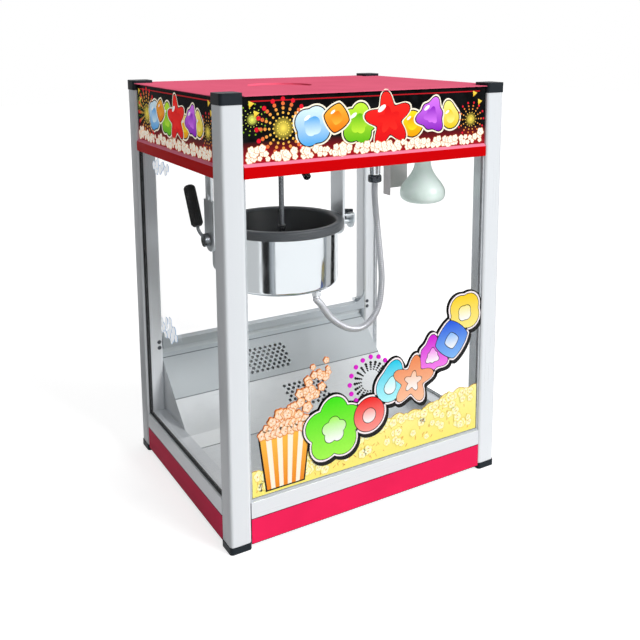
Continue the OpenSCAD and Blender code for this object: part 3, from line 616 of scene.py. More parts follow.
def grown(base, tree, finish, values):
    """The mesh, in millimetres, that a geometry node tree makes of a base object."""
    values["Material"] = finishes[finish]
    modifier = base.modifiers.new("Pattern", "NODES")
    modifier.node_group = tree
    for item in tree.interface.items_tree:
        if item.item_type == "SOCKET" and item.in_out == "INPUT" and item.name in values:
            modifier[item.identifier] = values[item.name]
    depsgraph = bpy.context.evaluated_depsgraph_get()
    mesh = bpy.data.meshes.new_from_object(base.evaluated_get(depsgraph))
    base.modifiers.remove(modifier)
    bpy.data.objects.remove(base)
    return mesh


def points_mesh(points, **attributes):
    """Loose points that carry named vectors, for instances to stand on."""
    mesh = bpy.data.meshes.new("points")
    mesh.from_pydata([tuple(p) for p in points], [], [])
    for name, values in attributes.items():
        layer = mesh.attributes.new(name, "FLOAT_VECTOR", "POINT")
        layer.data.foreach_set("vector", [c for v in values for c in v])
    return mesh


def hose_tree():
    """Interlocked strip hose: ribs a pitch apart along a curve."""
    tree, given = new_tree("ribbed_hose", [
        ("Pitch", "Float"), ("Radius", "Float"), ("Groove", "Float")])
    line = add(tree, "GeometryNodeResampleCurve", {
        "mode": "LENGTH", "Curve": given["Geometry"],
        "Length": calc(tree, "MULTIPLY", given["Pitch"], 0.25)})
    step = calc(tree, "MODULO", add(tree, "GeometryNodeInputIndex"), 4.0)
    in_groove = calc(tree, "GREATER_THAN", step, 1.5)
    depth = calc(tree, "DIVIDE", given["Groove"], given["Radius"])
    size = calc(tree, "SUBTRACT", 1.0, calc(tree, "MULTIPLY", in_groove, depth))
    ring = add(tree, "GeometryNodeCurvePrimitiveCircle", {
        "Resolution": 18, "Radius": given["Radius"]})
    return closed(tree, given, add(tree, "GeometryNodeCurveToMesh", {
        "Fill Caps": True, "Curve": line, "Profile Curve": ring, "Scale": size}))


def standing_tree():
    """Copies of one shape, each standing on a point along its way and sized by its size."""
    tree, given = new_tree("standing_copies", [
        ("Shape", "Object"), ("Seed", "Int"), ("Turn", "Float")])
    way, size = (add(tree, "GeometryNodeInputNamedAttribute", {
        "data_type": "FLOAT_VECTOR", "Name": name}) for name in ("way", "size"))
    upright = add(tree, "FunctionNodeAlignRotationToVector", {"axis": "Z", "Vector": way})
    spin = add(tree, "FunctionNodeRandomValue", {
        "data_type": "FLOAT", 2: -1.0, 3: 1.0, "Seed": given["Seed"]})
    turn = calc(tree, "MULTIPLY", spin.outputs[1], given["Turn"])
    local = add(tree, "FunctionNodeEulerToRotation", {
        0: add(tree, "ShaderNodeCombineXYZ", {2: turn})})
    rotated = add(tree, "FunctionNodeRotateRotation", {
        "rotation_space": "LOCAL", 0: upright, 1: local})
    shape = add(tree, "GeometryNodeObjectInfo", {"Object": given["Shape"]})
    return closed(tree, given, add(tree, "GeometryNodeInstanceOnPoints", {
        "Points": given["Geometry"], "Instance": shape.outputs["Geometry"],
        "Rotation": rotated, "Scale": size}))


def standing(shape, points, ways, sizes, finish, turn=0.0, seed=0):
    """One mesh of copies of a shape, which is used up."""
    sizes = [size if isinstance(size, tuple) else (size, size, size) for size in sizes]
    model = scratch(shape)
    mesh = grown(scratch(points_mesh(points, way=ways, size=sizes)), standing_tree(), finish,
                 {"Shape": model, "Turn": turn, "Seed": seed})
    bpy.data.objects.remove(model)
    return mesh


def burst_tree():
    """Rays of round dots about a centre, which grow outwards."""
    tree, given = new_tree("dot_burst", [
        ("Rays", "Int"), ("Rings", "Int"), ("Inner", "Float"), ("Step", "Float"),
        ("Dot", "Float"), ("Growth", "Float"), ("Inside", "Color"), ("Outside", "Color")])
    dots = add(tree, "GeometryNodePoints", {
        "Count": calc(tree, "MULTIPLY", given["Rays"], given["Rings"])})
    index = add(tree, "GeometryNodeInputIndex")
    ray = calc(tree, "MODULO", index, given["Rays"])
    ring = calc(tree, "FLOOR", calc(tree, "DIVIDE", index, given["Rays"]))
    angle = calc(tree, "MULTIPLY", calc(tree, "DIVIDE", ray, given["Rays"]), 2 * math.pi)
    far = calc(tree, "MULTIPLY_ADD", ring, given["Step"], given["Inner"])
    x, y = (calc(tree, "MULTIPLY", calc(tree, part, angle), far) for part in ("COSINE", "SINE"))
    moved = add(tree, "GeometryNodeSetPosition", {
        "Geometry": dots, "Position": add(tree, "ShaderNodeCombineXYZ", {0: x, 1: y})})
    disc = add(tree, "GeometryNodeMeshCircle", {
        "fill_type": "NGON", "Vertices": 10, "Radius": given["Dot"]})
    copies = add(tree, "GeometryNodeInstanceOnPoints", {
        "Points": moved, "Instance": disc,
        "Scale": calc(tree, "MULTIPLY_ADD", ring, given["Growth"], 1.0)})
    way_out = calc(tree, "DIVIDE", ring, calc(tree, "SUBTRACT", given["Rings"], 1.0))
    return closed(tree, given, add(tree, "GeometryNodeStoreNamedAttribute", {
        "data_type": "FLOAT_COLOR", "domain": "INSTANCE", "Name": "ink", "Geometry": copies,
        "Value": mixed(tree, way_out, given["Inside"], given["Outside"])}))


# ---- flat prints, drawn in [across, up] millimetres on a panel ----

# The height of one layer of ink, and the layers from one popped kernel to the next
LAYER = 0.025
LAYERS_PER_PUFF = 3.4


def panel_place(side, face):
    """Places a drawing [across, up, lift] on the outer face of the front or of a side."""
    turn = {"front": ((1, 0, 0), (0, -1, 0)), "left": ((0, -1, 0), (-1, 0, 0)),
            "right": ((0, 1, 0), (1, 0, 0))}[side]
    across, out = Vector(turn[0]), Vector(turn[1])
    up = Vector((0, 0, 1))
    place = Matrix((across, up, out)).transposed().to_4x4()
    place.translation = out * face
    return place


class Print:
    """Flat inked shapes in layers, the first at a lift above the panel."""

    def __init__(self, lift=0.1):
        self.form = bmesh.new()
        self.ink = self.form.verts.layers.float_color.new("ink")
        self.lift = lift

    def corner(self, at, ink, layer):
        vert = self.form.verts.new((*at, self.lift + LAYER * layer))
        vert[self.ink] = ink
        return vert

    def shape(self, outline, low, high=None, layer=0):
        """Fills an outline. Its colour runs from low at its foot to high at its top."""
        foot = min(v for _, v in outline)
        rise = max(max(v for _, v in outline) - foot, 1e-6)
        self.form.faces.new([
            self.corner((u, v), blended(low, high or low, (v - foot) / rise), layer)
            for u, v in outline])

    def glow(self, at, radius, inside, outside, layer):
        """A disc whose colour fades from its middle to its edge."""
        heart = self.corner(at, inside, layer)
        rim = ellipse(at, radius, radius, steps=24)
        edge = [self.corner(spot, outside, layer) for spot in rim]
        for k, first in enumerate(edge):
            self.form.faces.new((heart, first, edge[(k + 1) % len(edge)]))

    def finished(self, triangles=True):
        self.form.normal_update()
        if triangles:
            bmesh.ops.triangulate(self.form, faces=self.form.faces)
        return mesh_of(self.form, "print")


MOTIFS = {
    "disc": lambda a: 0.92,
    "star": lambda a: 0.80 + 0.24 * math.cos(5 * a),
    "flower": lambda a: 0.80 + 0.22 * abs(math.cos(2.5 * a)),
    "drop": lambda a: 0.74 + 0.5 * max(0.0, math.cos(a)) ** 7,
    "cloud": lambda a: 0.84 + 0.17 * abs(math.sin(2 * a + 0.5)),
    "gem": lambda a: 0.98 / (abs(math.cos(a)) ** 1.35 + abs(math.sin(a)) ** 1.35) ** (1 / 1.35),
    "bell": lambda a: 0.80 + 0.14 * math.cos(3 * a) + 0.08 * math.cos(6 * a),
}


def motif(kind, at, size, lean=0.0, grow=0.0, steps=60):
    """The outline of a motif, size millimetres from its middle to its tips."""
    points = []
    for k in range(steps):
        a = -2 * math.pi * k / steps
        r = size * MOTIFS[kind](a) + grow
        b = a + math.radians(lean)
        points.append((at[0] + r * math.sin(b), at[1] + r * math.cos(b)))
    return points


def ellipse(at, width, height, lean=0.0, steps=20):
    """Points [across, up] round an ellipse, which leans by an angle in degrees."""
    c, s = math.cos(math.radians(lean)), math.sin(math.radians(lean))
    return [(at[0] + c * width * math.cos(t) - s * height * math.sin(t),
             at[1] + s * width * math.cos(t) + c * height * math.sin(t))
            for t in [2 * math.pi * k / steps for k in range(steps)]]


def bubble(sheet, kind, at, size, lean, inks, borders, layer):
    """One outlined motif from a layer up: borders are [colour, width] from the outside in."""
    for border, width in borders:
        sheet.shape(motif(kind, at, size, lean, width), border, layer=layer)
        layer += 1
    low, high = inks
    sheet.shape(motif(kind, at, size, lean), low, high, layer)
    sheet.shape(motif(kind, at, size * 0.5, lean), high, low, layer + 1)
    shine = (at[0] - size * 0.3, at[1] + size * 0.42)
    sheet.shape(ellipse(shine, size * 0.2, size * 0.09, 35), WHITE, layer=layer + 2)


def puff(seed, fill, edge, mark, lobes=5):
    """A flat popped kernel one unit in radius: edge, fill, pale lobes and a few marks."""
    rng = random.Random(seed)
    start = rng.random() * math.pi
    depth = 0.2 + 0.08 * rng.random()
    sheet = Print(0.0)

    def lobed(scale):
        points = []
        for k in range(30):
            a = 2 * math.pi * k / 30
            r = scale * (0.8 + depth * abs(math.sin(lobes * a / 2 + start)))
            points.append((r * math.cos(a), r * math.sin(a)))
        return points

    sheet.shape(lobed(1.0), edge, layer=0)
    sheet.shape(lobed(0.87), fill, blended(fill, WHITE, 0.3), 1)
    for k in range(3):
        a = start + 2.1 * k
        at = (0.42 * math.cos(a), 0.42 * math.sin(a))
        sheet.shape(ellipse(at, 0.3, 0.24, 0, 10), blended(fill, WHITE, 0.5), layer=2)
    for k in range(2):
        a = start + 1.0 + 2.6 * k
        sheet.shape(ellipse((0.25 * math.cos(a), 0.25 * math.sin(a)), 0.24, 0.06,
                            math.degrees(a) + 90, 8), mark, layer=3)
    return sheet.finished(False)


def puffs(points, sizes, seed, inks, lift, heights=9):
    """Popped kernels on points of a drawing, turned at random. Inks are fill, edge and mark."""
    placed = [(u, v, lift + LAYERS_PER_PUFF * LAYER * (k % heights))
              for k, (u, v) in enumerate(points)]
    return standing(puff(seed, *inks), placed, [(0, 0, 1)] * len(placed),
                    [(size, size, 1.0) for size in sizes], "print", math.pi, seed)


def burst(at, lift, **values):
    """Rays of dots round a point of a drawing."""
    mesh = grown(scratch(points_mesh([(0, 0, 0)])), burst_tree(), "print", values)
    mesh.transform(Matrix.Translation((at[0], at[1], lift)))
    return mesh


def pasted(name, meshes, side, face, finish, mirror_lift=None):
    """Joins the meshes of a print on a panel. A mirror lift prints it facing inwards as well."""
    whole = bmesh.new()
    whole.verts.layers.float_color.new("ink")
    for mesh in meshes:
        whole.from_mesh(mesh)
        bpy.data.meshes.remove(mesh)
    if mirror_lift is not None:
        twin = bmesh.ops.duplicate(
            whole, geom=whole.faces[:] + whole.edges[:] + whole.verts[:])["geom"]
        for item in twin:
            if isinstance(item, bmesh.types.BMVert):
                item.co.z = 2 * mirror_lift - item.co.z
        bmesh.ops.reverse_faces(whole, faces=[
            item for item in twin if isinstance(item, bmesh.types.BMFace)])
    whole.transform(panel_place(side, face))
    new_piece(name, whole, "cabinet", finish, smooth=False)


# ---- what a user would change ----


class CabinetStyle(bpy.types.PropertyGroup):
    enamel: bpy.props.FloatVectorProperty(
        name="Skirts", description="Colour of the skirts",
        subtype="COLOR", size=4, min=0, max=1, default=colour("#F4285C"))
    trim: bpy.props.FloatVectorProperty(
        name="Trim", description="Colour of the header trims",
        subtype="COLOR", size=4, min=0, max=1, default=colour("#D60206"))
    # The roof's default is paler than the skirts' red: painted light falling on it from above
    roof: bpy.props.FloatVectorProperty(
        name="Roof", description="Colour of the roof panel",
        subtype="COLOR", size=4, min=0, max=1, default=colour("#FF7492"))
    aluminium: bpy.props.FloatVectorProperty(
        name="Aluminium", description="Colour of the posts and the lower rails",
        subtype="COLOR", size=4, min=0, max=1, default=colour("#E2E6EA"))
    edge: bpy.props.FloatProperty(
        name="Edge softness", description="Width of the softened edges, in millimetres",
        default=0.6, min=0.1, max=1.5)


class PrintStyle(bpy.types.PropertyGroup):
    puff_size: bpy.props.FloatProperty(
        name="Popcorn size", description="Radius of a printed popped kernel, in millimetres",
        default=7.5, min=3.0, max=14.0)
    drift: bpy.props.FloatProperty(
        name="Drift height",
        description="Height of the printed drift at the right, in millimetres",
        default=86.0, min=40.0, max=150.0)
    border: bpy.props.FloatProperty(
        name="Border", description="Width of the outline round the glass motifs, in millimetres",
        default=7.0, min=2.0, max=12.0)
    seed: bpy.props.IntProperty(
        name="Seed", description="Fixes how the printed popcorn falls", default=7)


class HoseStyle(bpy.types.PropertyGroup):
    pitch: bpy.props.FloatProperty(
        name="Rib pitch", description="Distance between the hose's ribs, in millimetres",
        default=4.0, min=2.0, max=8.0)
    groove: bpy.props.FloatProperty(
        name="Groove", description="Depth of the grooves between the ribs, in millimetres",
        default=0.9, min=0.2, max=2.0)


class StudioStyle(bpy.types.PropertyGroup):
    key: bpy.props.FloatProperty(
        name="Key light", description="Strength of the light from the front right",
        default=2.3, min=0.0, max=6.0)
    ambient: bpy.props.FloatProperty(
        name="Ambient", description="Brightness of the surroundings on the object",
        default=0.42, min=0.0, max=1.0)


# ---- stage ----


def seen_directly(tree):
    """1 for camera, mirror and see-through rays, 0 for the light that falls on the object."""
    path = add(tree, "ShaderNodeLightPath").outputs
    mirror = calc(tree, "MAXIMUM", path["Is Camera Ray"], path["Is Glossy Ray"])
    return calc(tree, "MAXIMUM", mirror, path["Is Transmission Ray"])


def staged(name, corners, faces):
    """A stage object of one mesh, with the empty tree of its material."""
    mesh = bpy.data.meshes.new(name)
    mesh.from_pydata(corners, [], faces)
    item = scratch(mesh, name)
    paper = bpy.data.materials.new(name)
    paper.use_nodes = True
    paper.node_tree.nodes.clear()
    mesh.materials.append(paper)
    return item, paper.node_tree


def reflection_card(name, corners, grey):
    """A flat grey card, bent once between its three pairs of corners. Only mirrors see it."""
    card, tree = staged(name, corners, [(0, 1, 3, 2), (2, 3, 5, 4)])
    add(tree, "ShaderNodeOutputMaterial", {
        "Surface": add(tree, "ShaderNodeEmission", {"Color": (grey, grey, grey, 1)})})
    card.visible_camera = False
    card.visible_diffuse = False
    card.visible_shadow = False
    card.visible_transmission = False


def place_camera(scene):
    """A camera at the front left, a little above the machine, with its lens shifted."""
    lens = bpy.data.cameras.new("camera")
    lens.lens = 46.95
    lens.sensor_width = 36
    lens.shift_x = -0.0486
    lens.shift_y = -0.2312
    camera = scratch(lens, "camera")
    camera.location = (-0.767, -1.376, 0.837)
    camera.rotation_euler = (math.radians(80.61), 0, math.radians(-31.9))
    scene.camera = camera
    return camera


def light_world(scene, ambient):
    """A white world, in which matt faces get less light from the left and below."""
    world = bpy.data.worlds.new("white_studio")
    scene.world = world
    world.use_nodes = True
    tree = world.node_tree
    tree.nodes.clear()
    way = add(tree, "ShaderNodeSeparateXYZ", {
        0: add(tree, "ShaderNodeTexCoord").outputs["Generated"]}).outputs
    slant = calc(tree, "MULTIPLY_ADD", way["Z"], 0.6, way["X"])
    soft = spread(tree, slant, 0.0, ambient * 1.4, (-0.9, 0.6))
    sky = add(tree, "ShaderNodeBackground", {
        "Color": WHITE, "Strength": spread(tree, seen_directly(tree), soft, 1.0, (0.0, 1.0))})
    add(tree, "ShaderNodeOutputWorld", {"Surface": sky})


def lay_floor():
    """A floor that looks white and keeps the object's shadow."""
    reach, z = 9, -0.0004
    _, tree = staged("floor", [(-reach, -reach, z), (reach, -reach, z), (reach, reach, z),
                               (-reach, reach, z)], [(0, 1, 2, 3)])
    light = add(tree, "ShaderNodeEmission", {
        "Color": WHITE, "Strength": spread(tree, seen_directly(tree), 0.0, 0.72, (0.0, 1.0))})
    paint = add(tree, "ShaderNodeBsdfDiffuse", {"Color": (0.6, 0.6, 0.6, 1)})
    add(tree, "ShaderNodeOutputMaterial", {
        "Surface": add(tree, "ShaderNodeAddShader", {0: light, 1: paint})})


def stand_cards(camera):
    """Cards outside the machine that only its mirrors see."""
    near, far, card_top = 0.45, 4.0, 3.4
    middle_x = -0.065
    # Strips of floor with a wall behind them, at [bearing, half width, grey]
    for number, (bearing, half_width, grey) in enumerate([(-92, 20, 0.66), (75, 12, 0.62)]):
        edges = [math.radians(bearing + side * half_width) for side in (-1, 1)]
        reflection_card(f"reflection_card_{number}", [
            (middle_x + radius * math.sin(way), -radius * math.cos(way), z)
            for radius, z in ((near, 0.0005), (far, 0.0005), (far, card_top))
            for way in edges], grey)
    # Black flags, where the kettle mirrors them as two dark bands. A band is in degrees round
    # the kettle from the middle of the view, and the flag stands where its reflection leads
    low, high = box("kettle_shell")
    radius, kettle_x = (high.x - low.x) / 2 * MM, middle("kettle_shell").x * MM
    to_camera = math.atan2(camera.location.x - kettle_x, camera.location.y)
    for number, (x, band) in enumerate([(-0.47, (11.1, 20.3)), (0.47, (-68.2, -58.8))]):
        feet = []
        for degrees in band:
            way = to_camera + math.radians(degrees)
            out = to_camera + 2 * math.radians(degrees)
            reach = (x - kettle_x - radius * math.sin(way)) / math.sin(out)
            feet.append((x, radius * math.cos(way) + reach * math.cos(out)))
        reflection_card(f"black_flag_{number}", [
            (x, y, z) for z in (0.0006, 0.4, 0.8) for x, y in feet], 0.002)
    # A dark screen on the left, for the grazing reflections in the rear post and the pane
    reflection_card("left_screen", [
        (x, y, z) for x, z in ((-0.335, 0.0006), (-0.47, 0.0006), (-0.47, 1.3))
        for y in (0.2, 0.86)], 0.08)


class STAGE_OT_studio(bpy.types.Operator):
    """Camera, plain pale floor, white surroundings, soft key light and reflection cards"""
    bl_idname = "popcorn_maker.studio"
    bl_label = "Studio"

    def execute(self, context):
        scene = context.scene
        scene.view_settings.view_transform = "Standard"
        camera = place_camera(scene)
        light_world(scene, scene.studio_style.ambient)
        lay_floor()
        stand_cards(camera)
        sun = bpy.data.lights.new("key", "SUN")
        sun.energy = scene.studio_style.key
        sun.angle = math.radians(24)
        key = scratch(sun, "key")
        key.rotation_euler = Vector((0.40, -0.80, 0.45)).to_track_quat("Z", "Y").to_euler()
        return {"FINISHED"}


# ---- hose and plug ----


class HOSE_OT_power_hose(bpy.types.Operator):
    """Ribbed steel hose from the plug under the header down, round and up to the kettle"""
    bl_idname = "popcorn_maker.power_hose"
    bl_label = "Power Hose"

    def execute(self, context):
        style = context.scene.hose_style
        # From the plug down, round under the kettle and up to its gland
        stations = [(152, 10, 542), (152, 10, 512), (156, 8, 460), (160, 3, 400),
                    (158, -8, 338), (139, -22, 286), (100, -34, 261), (55, -46, 269),
                    (10, -58, 300), (-20, -68, 337), (-30, -70, 348), (-30, -70, 356)]
        route = smooth_route(stations, 140)
        line = bpy.data.curves.new("route", "CURVE")
        line.dimensions = "3D"
        spline = line.splines.new("POLY")
        spline.points.add(len(route) - 1)
        for point, spot in zip(spline.points, route):
            point.co = (*spot, 1)
        mesh = grown(scratch(line), hose_tree(), "hose", {
            "Pitch": style.pitch, "Radius": 6.9, "Groove": style.groove})
        hose = new_piece("power_hose", mesh, None, "hose", sharp=60)
        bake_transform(hose)
        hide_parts("power_conduit")

        # The plug's barrel has a groove near its top, and stands in a knurled nut
        low, high = box("conduit_plug")
        x, y = middle("conduit_plug")[:2]
        r, foot, top = 12.0, low.z, high.z
        barrel = turned([(0, foot + 14), (r - 1.5, foot + 14), (r - 0.6, foot + 15),
                         (r, foot + 18), (r, top - 18), (r - 1, top - 17), (r - 1, top - 14),
                         (r, top - 13), (r, top - 2), (r - 1, top), (0, top)], (x, y, 0))
        plug = new_piece("hose_plug", barrel, "cabinet", "chrome", "conduit_plug")
        rim = (high.x - low.x) / 2
        ring = [(7.4, 0), (rim - 2, 0), (rim - 0.8, 1), (rim, 2.5), (rim, 12), (rim - 0.8, 14),
                (rim - 2, 15), (7.4, 15), (7.4, 0)]
        knurled = turned(ring, (x, y, foot), steps=96, ridges=24, ridge_depth=0.8, span=(1, 14))
        nut = new_piece("hose_nut", knurled, "cabinet", "dark_chrome", sharp=50)

        edged("conduit_socket", "black")
        x, y, _ = middle("kettle_gland")
        foot = Vector((x, y, box("kettle_gland")[0].z))
        gland_nut = extruded(hexagon(9.8), 8, Matrix.Translation(foot))
        collar = turned([(0, 8), (8.2, 8), (8.2, 14.5), (7.4, 16), (0, 16)], foot, steps=40)
        new_piece("kettle_gland_finished", joined(gland_nut, collar), "kettle", "chrome",
                  "kettle_gland", 0.5)
        return {"FINISHED"}


# ---- cabinet ----


class CABINET_OT_frame(bpy.types.Operator):
    """Posts, caps, feet and lower rails"""
    bl_idname = "popcorn_maker.frame"
    bl_label = "Frame"

    def execute(self, context):
        edge = context.scene.cabinet_style.edge
        for end in ("front", "rear"):
            for side in ("left", "right"):
                # The right posts take the copy that mirrors more: painted light
                finish = "post" if side == "left" else "post_painted_light"
                edged(f"post_{end}_{side}", finish, edge)
        edged("top_caps", "black", 1.4)
        edged("corner_feet", "black", 1.4)
        edged("lower_rails", "rail", edge)
        return {"FINISHED"}


class CABINET_OT_painted_panels(bpy.types.Operator):
    """Skirts, header trims and roof in powder coat"""
    bl_idname = "popcorn_maker.painted_panels"
    bl_label = "Painted Panels"

    def execute(self, context):
        edge = context.scene.cabinet_style.edge
        for side in ("front", "left", "right"):
            edged(f"skirt_{side}", "enamel", 0.4)
        edged("header_trims", "trim", edge)
        edged("roof_panel", "roof", 0.4)
        return {"FINISHED"}


def knob(node, body, finish, stem, cap):
    """A turned knob that points to the rear. The cap's heights are shares of its reach."""
    low, high = box(node)
    reach = high.y - low.y
    form = turned(stem + [(radius, reach * share) for radius, share in cap] + [(0, reach)],
                  ((low.x + high.x) / 2, low.y, (low.z + high.z) / 2), (0, 1, 0))
    new_piece(f"{node}_turned", form, body, finish, node)


class CABINET_OT_steelwork(bpy.types.Operator):
    """Sieve floor, rear rail, back panel, header floor, bottom plate and drawer"""
    bl_idname = "popcorn_maker.steelwork"
    bl_label = "Steelwork"

    def execute(self, context):
        dress("floor_pan", "floor")
        for node in ("bottom_plate", "header_floor"):
            dress(node, "sheet")
        for node in ("slope_gussets", "back_panel", "control_panel"):
            edged(node, "sheet", 0.4)
        edged("rear_rail", "rear", 0.4)
        edged("kernel_drawer", "sheet", 0.4, body="drawer")
        knob("drawer_knob", "drawer", "black", [(0, 0), (6.5, 0), (6.5, 0.8), (5.2, 1.6)],
             [(4.8, 0.45), (8.4, 0.55), (9, 0.66), (9, 0.84), (8, 0.96), (6, 1)])
        return {"FINISHED"}


class CABINET_OT_glazing(bpy.types.Operator):
    """Glass panes in their rubber channels, and the rear doors with hinges and knobs"""
    bl_idname = "popcorn_maker.glazing"
    bl_label = "Glazing"

    def execute(self, context):
        for side in ("front", "left", "right"):
            edged(f"glass_{side}", "glass", 0.4)
        # The channels round the left pane and under the front one are black, the others pale:
        # those of the right pane, and the uprights of the front one
        pale = [(low, high) for low, high in islands("glass_gaskets")
                if low.x > 200 or (high.z - low.z > 300 and low.y < -210)]
        for name, finish, wanted in (("glass_gaskets_pale", "pale_rubber", True),
                                     ("glass_gaskets_black", "rubber", False)):
            form = copy_of("glass_gaskets")
            bmesh.ops.delete(form, context="VERTS", geom=[v for v in form.verts if wanted != any(
                all(low[i] - 0.01 <= v.co[i] <= high[i] + 0.01 for i in range(3))
                for low, high in pale)])
            new_piece(name, form, "cabinet", finish, "glass_gaskets", 0.5)
        for side in ("left", "right"):
            edged(f"door_{side}", "acrylic", 0.4, body=f"{side}_door")
            knob(f"door_knob_{side}", f"{side}_door", "clear_knob",
                 [(0, 0), (5.5, 0), (5, 1.2)],
                 [(4.6, 0.4), (8.6, 0.55), (10, 0.68), (10, 0.85), (9, 0.96), (7, 1)])
        edged("door_hinges", "plate", 0.5)
        return {"FINISHED"}


# ---- artwork ----

BLACK = colour("#050506")
CREAM = colour("#FFF6E0")
WHITE = colour("#FFFFFF")
# Motifs are [kind, across, up, size, lean, colour at the foot, colour at the top]
SIGN_MOTIFS = [
    ("cloud", -122, -2, 33, 0, "#4AA6E8", "#DDF4FF"),
    ("gem", -76, 9, 24, 12, "#F07808", "#FFB83A"),
    ("flower", -32, -3, 34, 10, "#58B810", "#C4F03C"),
    ("star", 29, 1, 46, -8, "#DC0410", "#FF2A20"),
    ("disc", 80, -9, 24, 0, "#F2A000", "#FFE21C"),
    ("bell", 122, 3, 33, 20, "#8A1CC0", "#DC78F8"),
    ("drop", 166, -3, 25, -14, "#E8C800", "#FFF48A"),
]
GLASS_MOTIFS = [
    ("flower", -82, 168, 56, 0, "#A4F850", "#38E400"),
    ("disc", -10, 176, 34, 0, "#FF9A92", "#F00408"),
    ("drop", 34, 218, 39, 18, "#B4FAFF", "#04CCEC"),
    ("star", 84, 218, 45, 10, "#FFC8A4", "#F08850"),
    ("bell", 128, 256, 39, 0, "#F884F0", "#D004D4"),
    ("gem", 172, 278, 38, -8, "#84BCF8", "#1054E0"),
    ("cloud", 202, 326, 37, 10, "#FFF08C", "#FFD404"),
]
# Bursts are [share of the half width, up, reach, rays, rings, inner colour, outer colour]
SIGN_BURSTS = [
    (-0.71, -2, 46, 16, 6, "#FFE65A", "#E0142C"),
    (0.86, -8, 30, 14, 5, "#FFE65A", "#E0142C"),
    (-0.93, 14, 24, 14, 4, "#F4F86A", "#7AA81E"),
]


def sign_ground(sheet, half, foot, top):
    """A red glow at the foot of a sign, a red line near its top, yellow darts in its corners."""
    sheet.shape([(-half, foot), (half, foot), (half, foot + 34), (-half, foot + 34)],
                colour("#A80C1C"), colour("#08080A"), 0)
    sheet.shape([(-half + 14, top - 9), (half - 14, top - 9), (half - 14, top - 7),
                 (-half + 14, top - 7)], colour("#B8101C"), layer=0)
    for share, drop in ((-0.95, 18), (-0.915, 33), (0.88, 18), (0.93, 33)):
        u, v = share * half, top - drop
        sheet.shape([(u, v), (u + 9, v + 7), (u - 1, v + 11)], colour("#F2B81E"),
                    colour("#FFE45A"), 6)


def corn_edge(style, half, foot):
    """Popped corn along the foot of a sign, heaped higher towards both ends."""
    rng = random.Random(style.seed)
    size = style.puff_size
    reach, count, row_height = half - size, half / 5.2, 7.0
    # The heaps start at this share of the way from the middle to an end
    heap_start = 0.76
    spots, sizes = [], []
    for row in range(5):
        for k in range(int(count)):
            u = 2 * reach * (k + rng.random()) / count - reach
            u = max(min(u, reach), -reach)
            near_end = max(0.0, abs(u) / half - heap_start) / (1 - heap_start)
            if row * 7.5 > 8 + 26 * near_end * (0.6 + 0.4 * math.sin(u / 9)):
                continue
            spots.append((u, foot + size * 0.7 + row_height * row + 3.5 * rng.random()))
            sizes.append(size * (0.6 + 0.55 * rng.random()))
    inks = (CREAM, colour("#DE9A68"), colour("#E8B080"))
    return puffs(spots, sizes, style.seed, inks, 0.45)


class SIGN_OT_header_signs(bpy.types.Operator):
    """Black header signs with bright motifs, dot bursts and an edge of popped corn"""
    bl_idname = "popcorn_maker.header_signs"
    bl_label = "Header Signs"

    def execute(self, context):
        # Signs are [side, half the print's width, distance of its face from the middle]
        front_half = 241
        for side, half, face in (("front", front_half, 218), ("left", 186, 273),
                                 ("right", 186, 273)):
            edged(f"sign_{side}", "sign", 0.3)
            low, high = box(f"sign_{side}")
            centre = (low.z + high.z) / 2 + 2
            scale = half / front_half
            sheet = Print()
            sign_ground(sheet, half, low.z, high.z)
            meshes = []
            for share, up, reach, rays, rings, inside, outside in SIGN_BURSTS:
                at = (share * half, centre + up)
                sheet.glow(at, reach * 0.4, colour(inside), BLACK, 1)
                inner = reach * 0.22
                meshes.append(burst(at, 0.16, Rays=rays, Rings=rings, Inner=inner,
                                    Step=(reach - inner) / (rings - 1), Dot=reach * 0.022,
                                    Growth=0.55, Inside=colour(inside), Outside=colour(outside)))
            for k, (kind, u, v, size, lean, foot_ink, top_ink) in enumerate(SIGN_MOTIFS):
                bubble(sheet, kind, (u * scale * 0.97, centre + v),
                       size * (0.35 + 0.65 * scale), lean, (colour(foot_ink), colour(top_ink)),
                       [(CREAM, 4.8), (BLACK, 2.0)], 2 + 5 * (k % 2))
            meshes.append(sheet.finished())
            meshes.append(corn_edge(context.scene.print_style, half, low.z))
            # The sign prints glow with painted light
            pasted(f"sign_print_{side}", meshes, side, face, "glow_print")
        return {"FINISHED"}


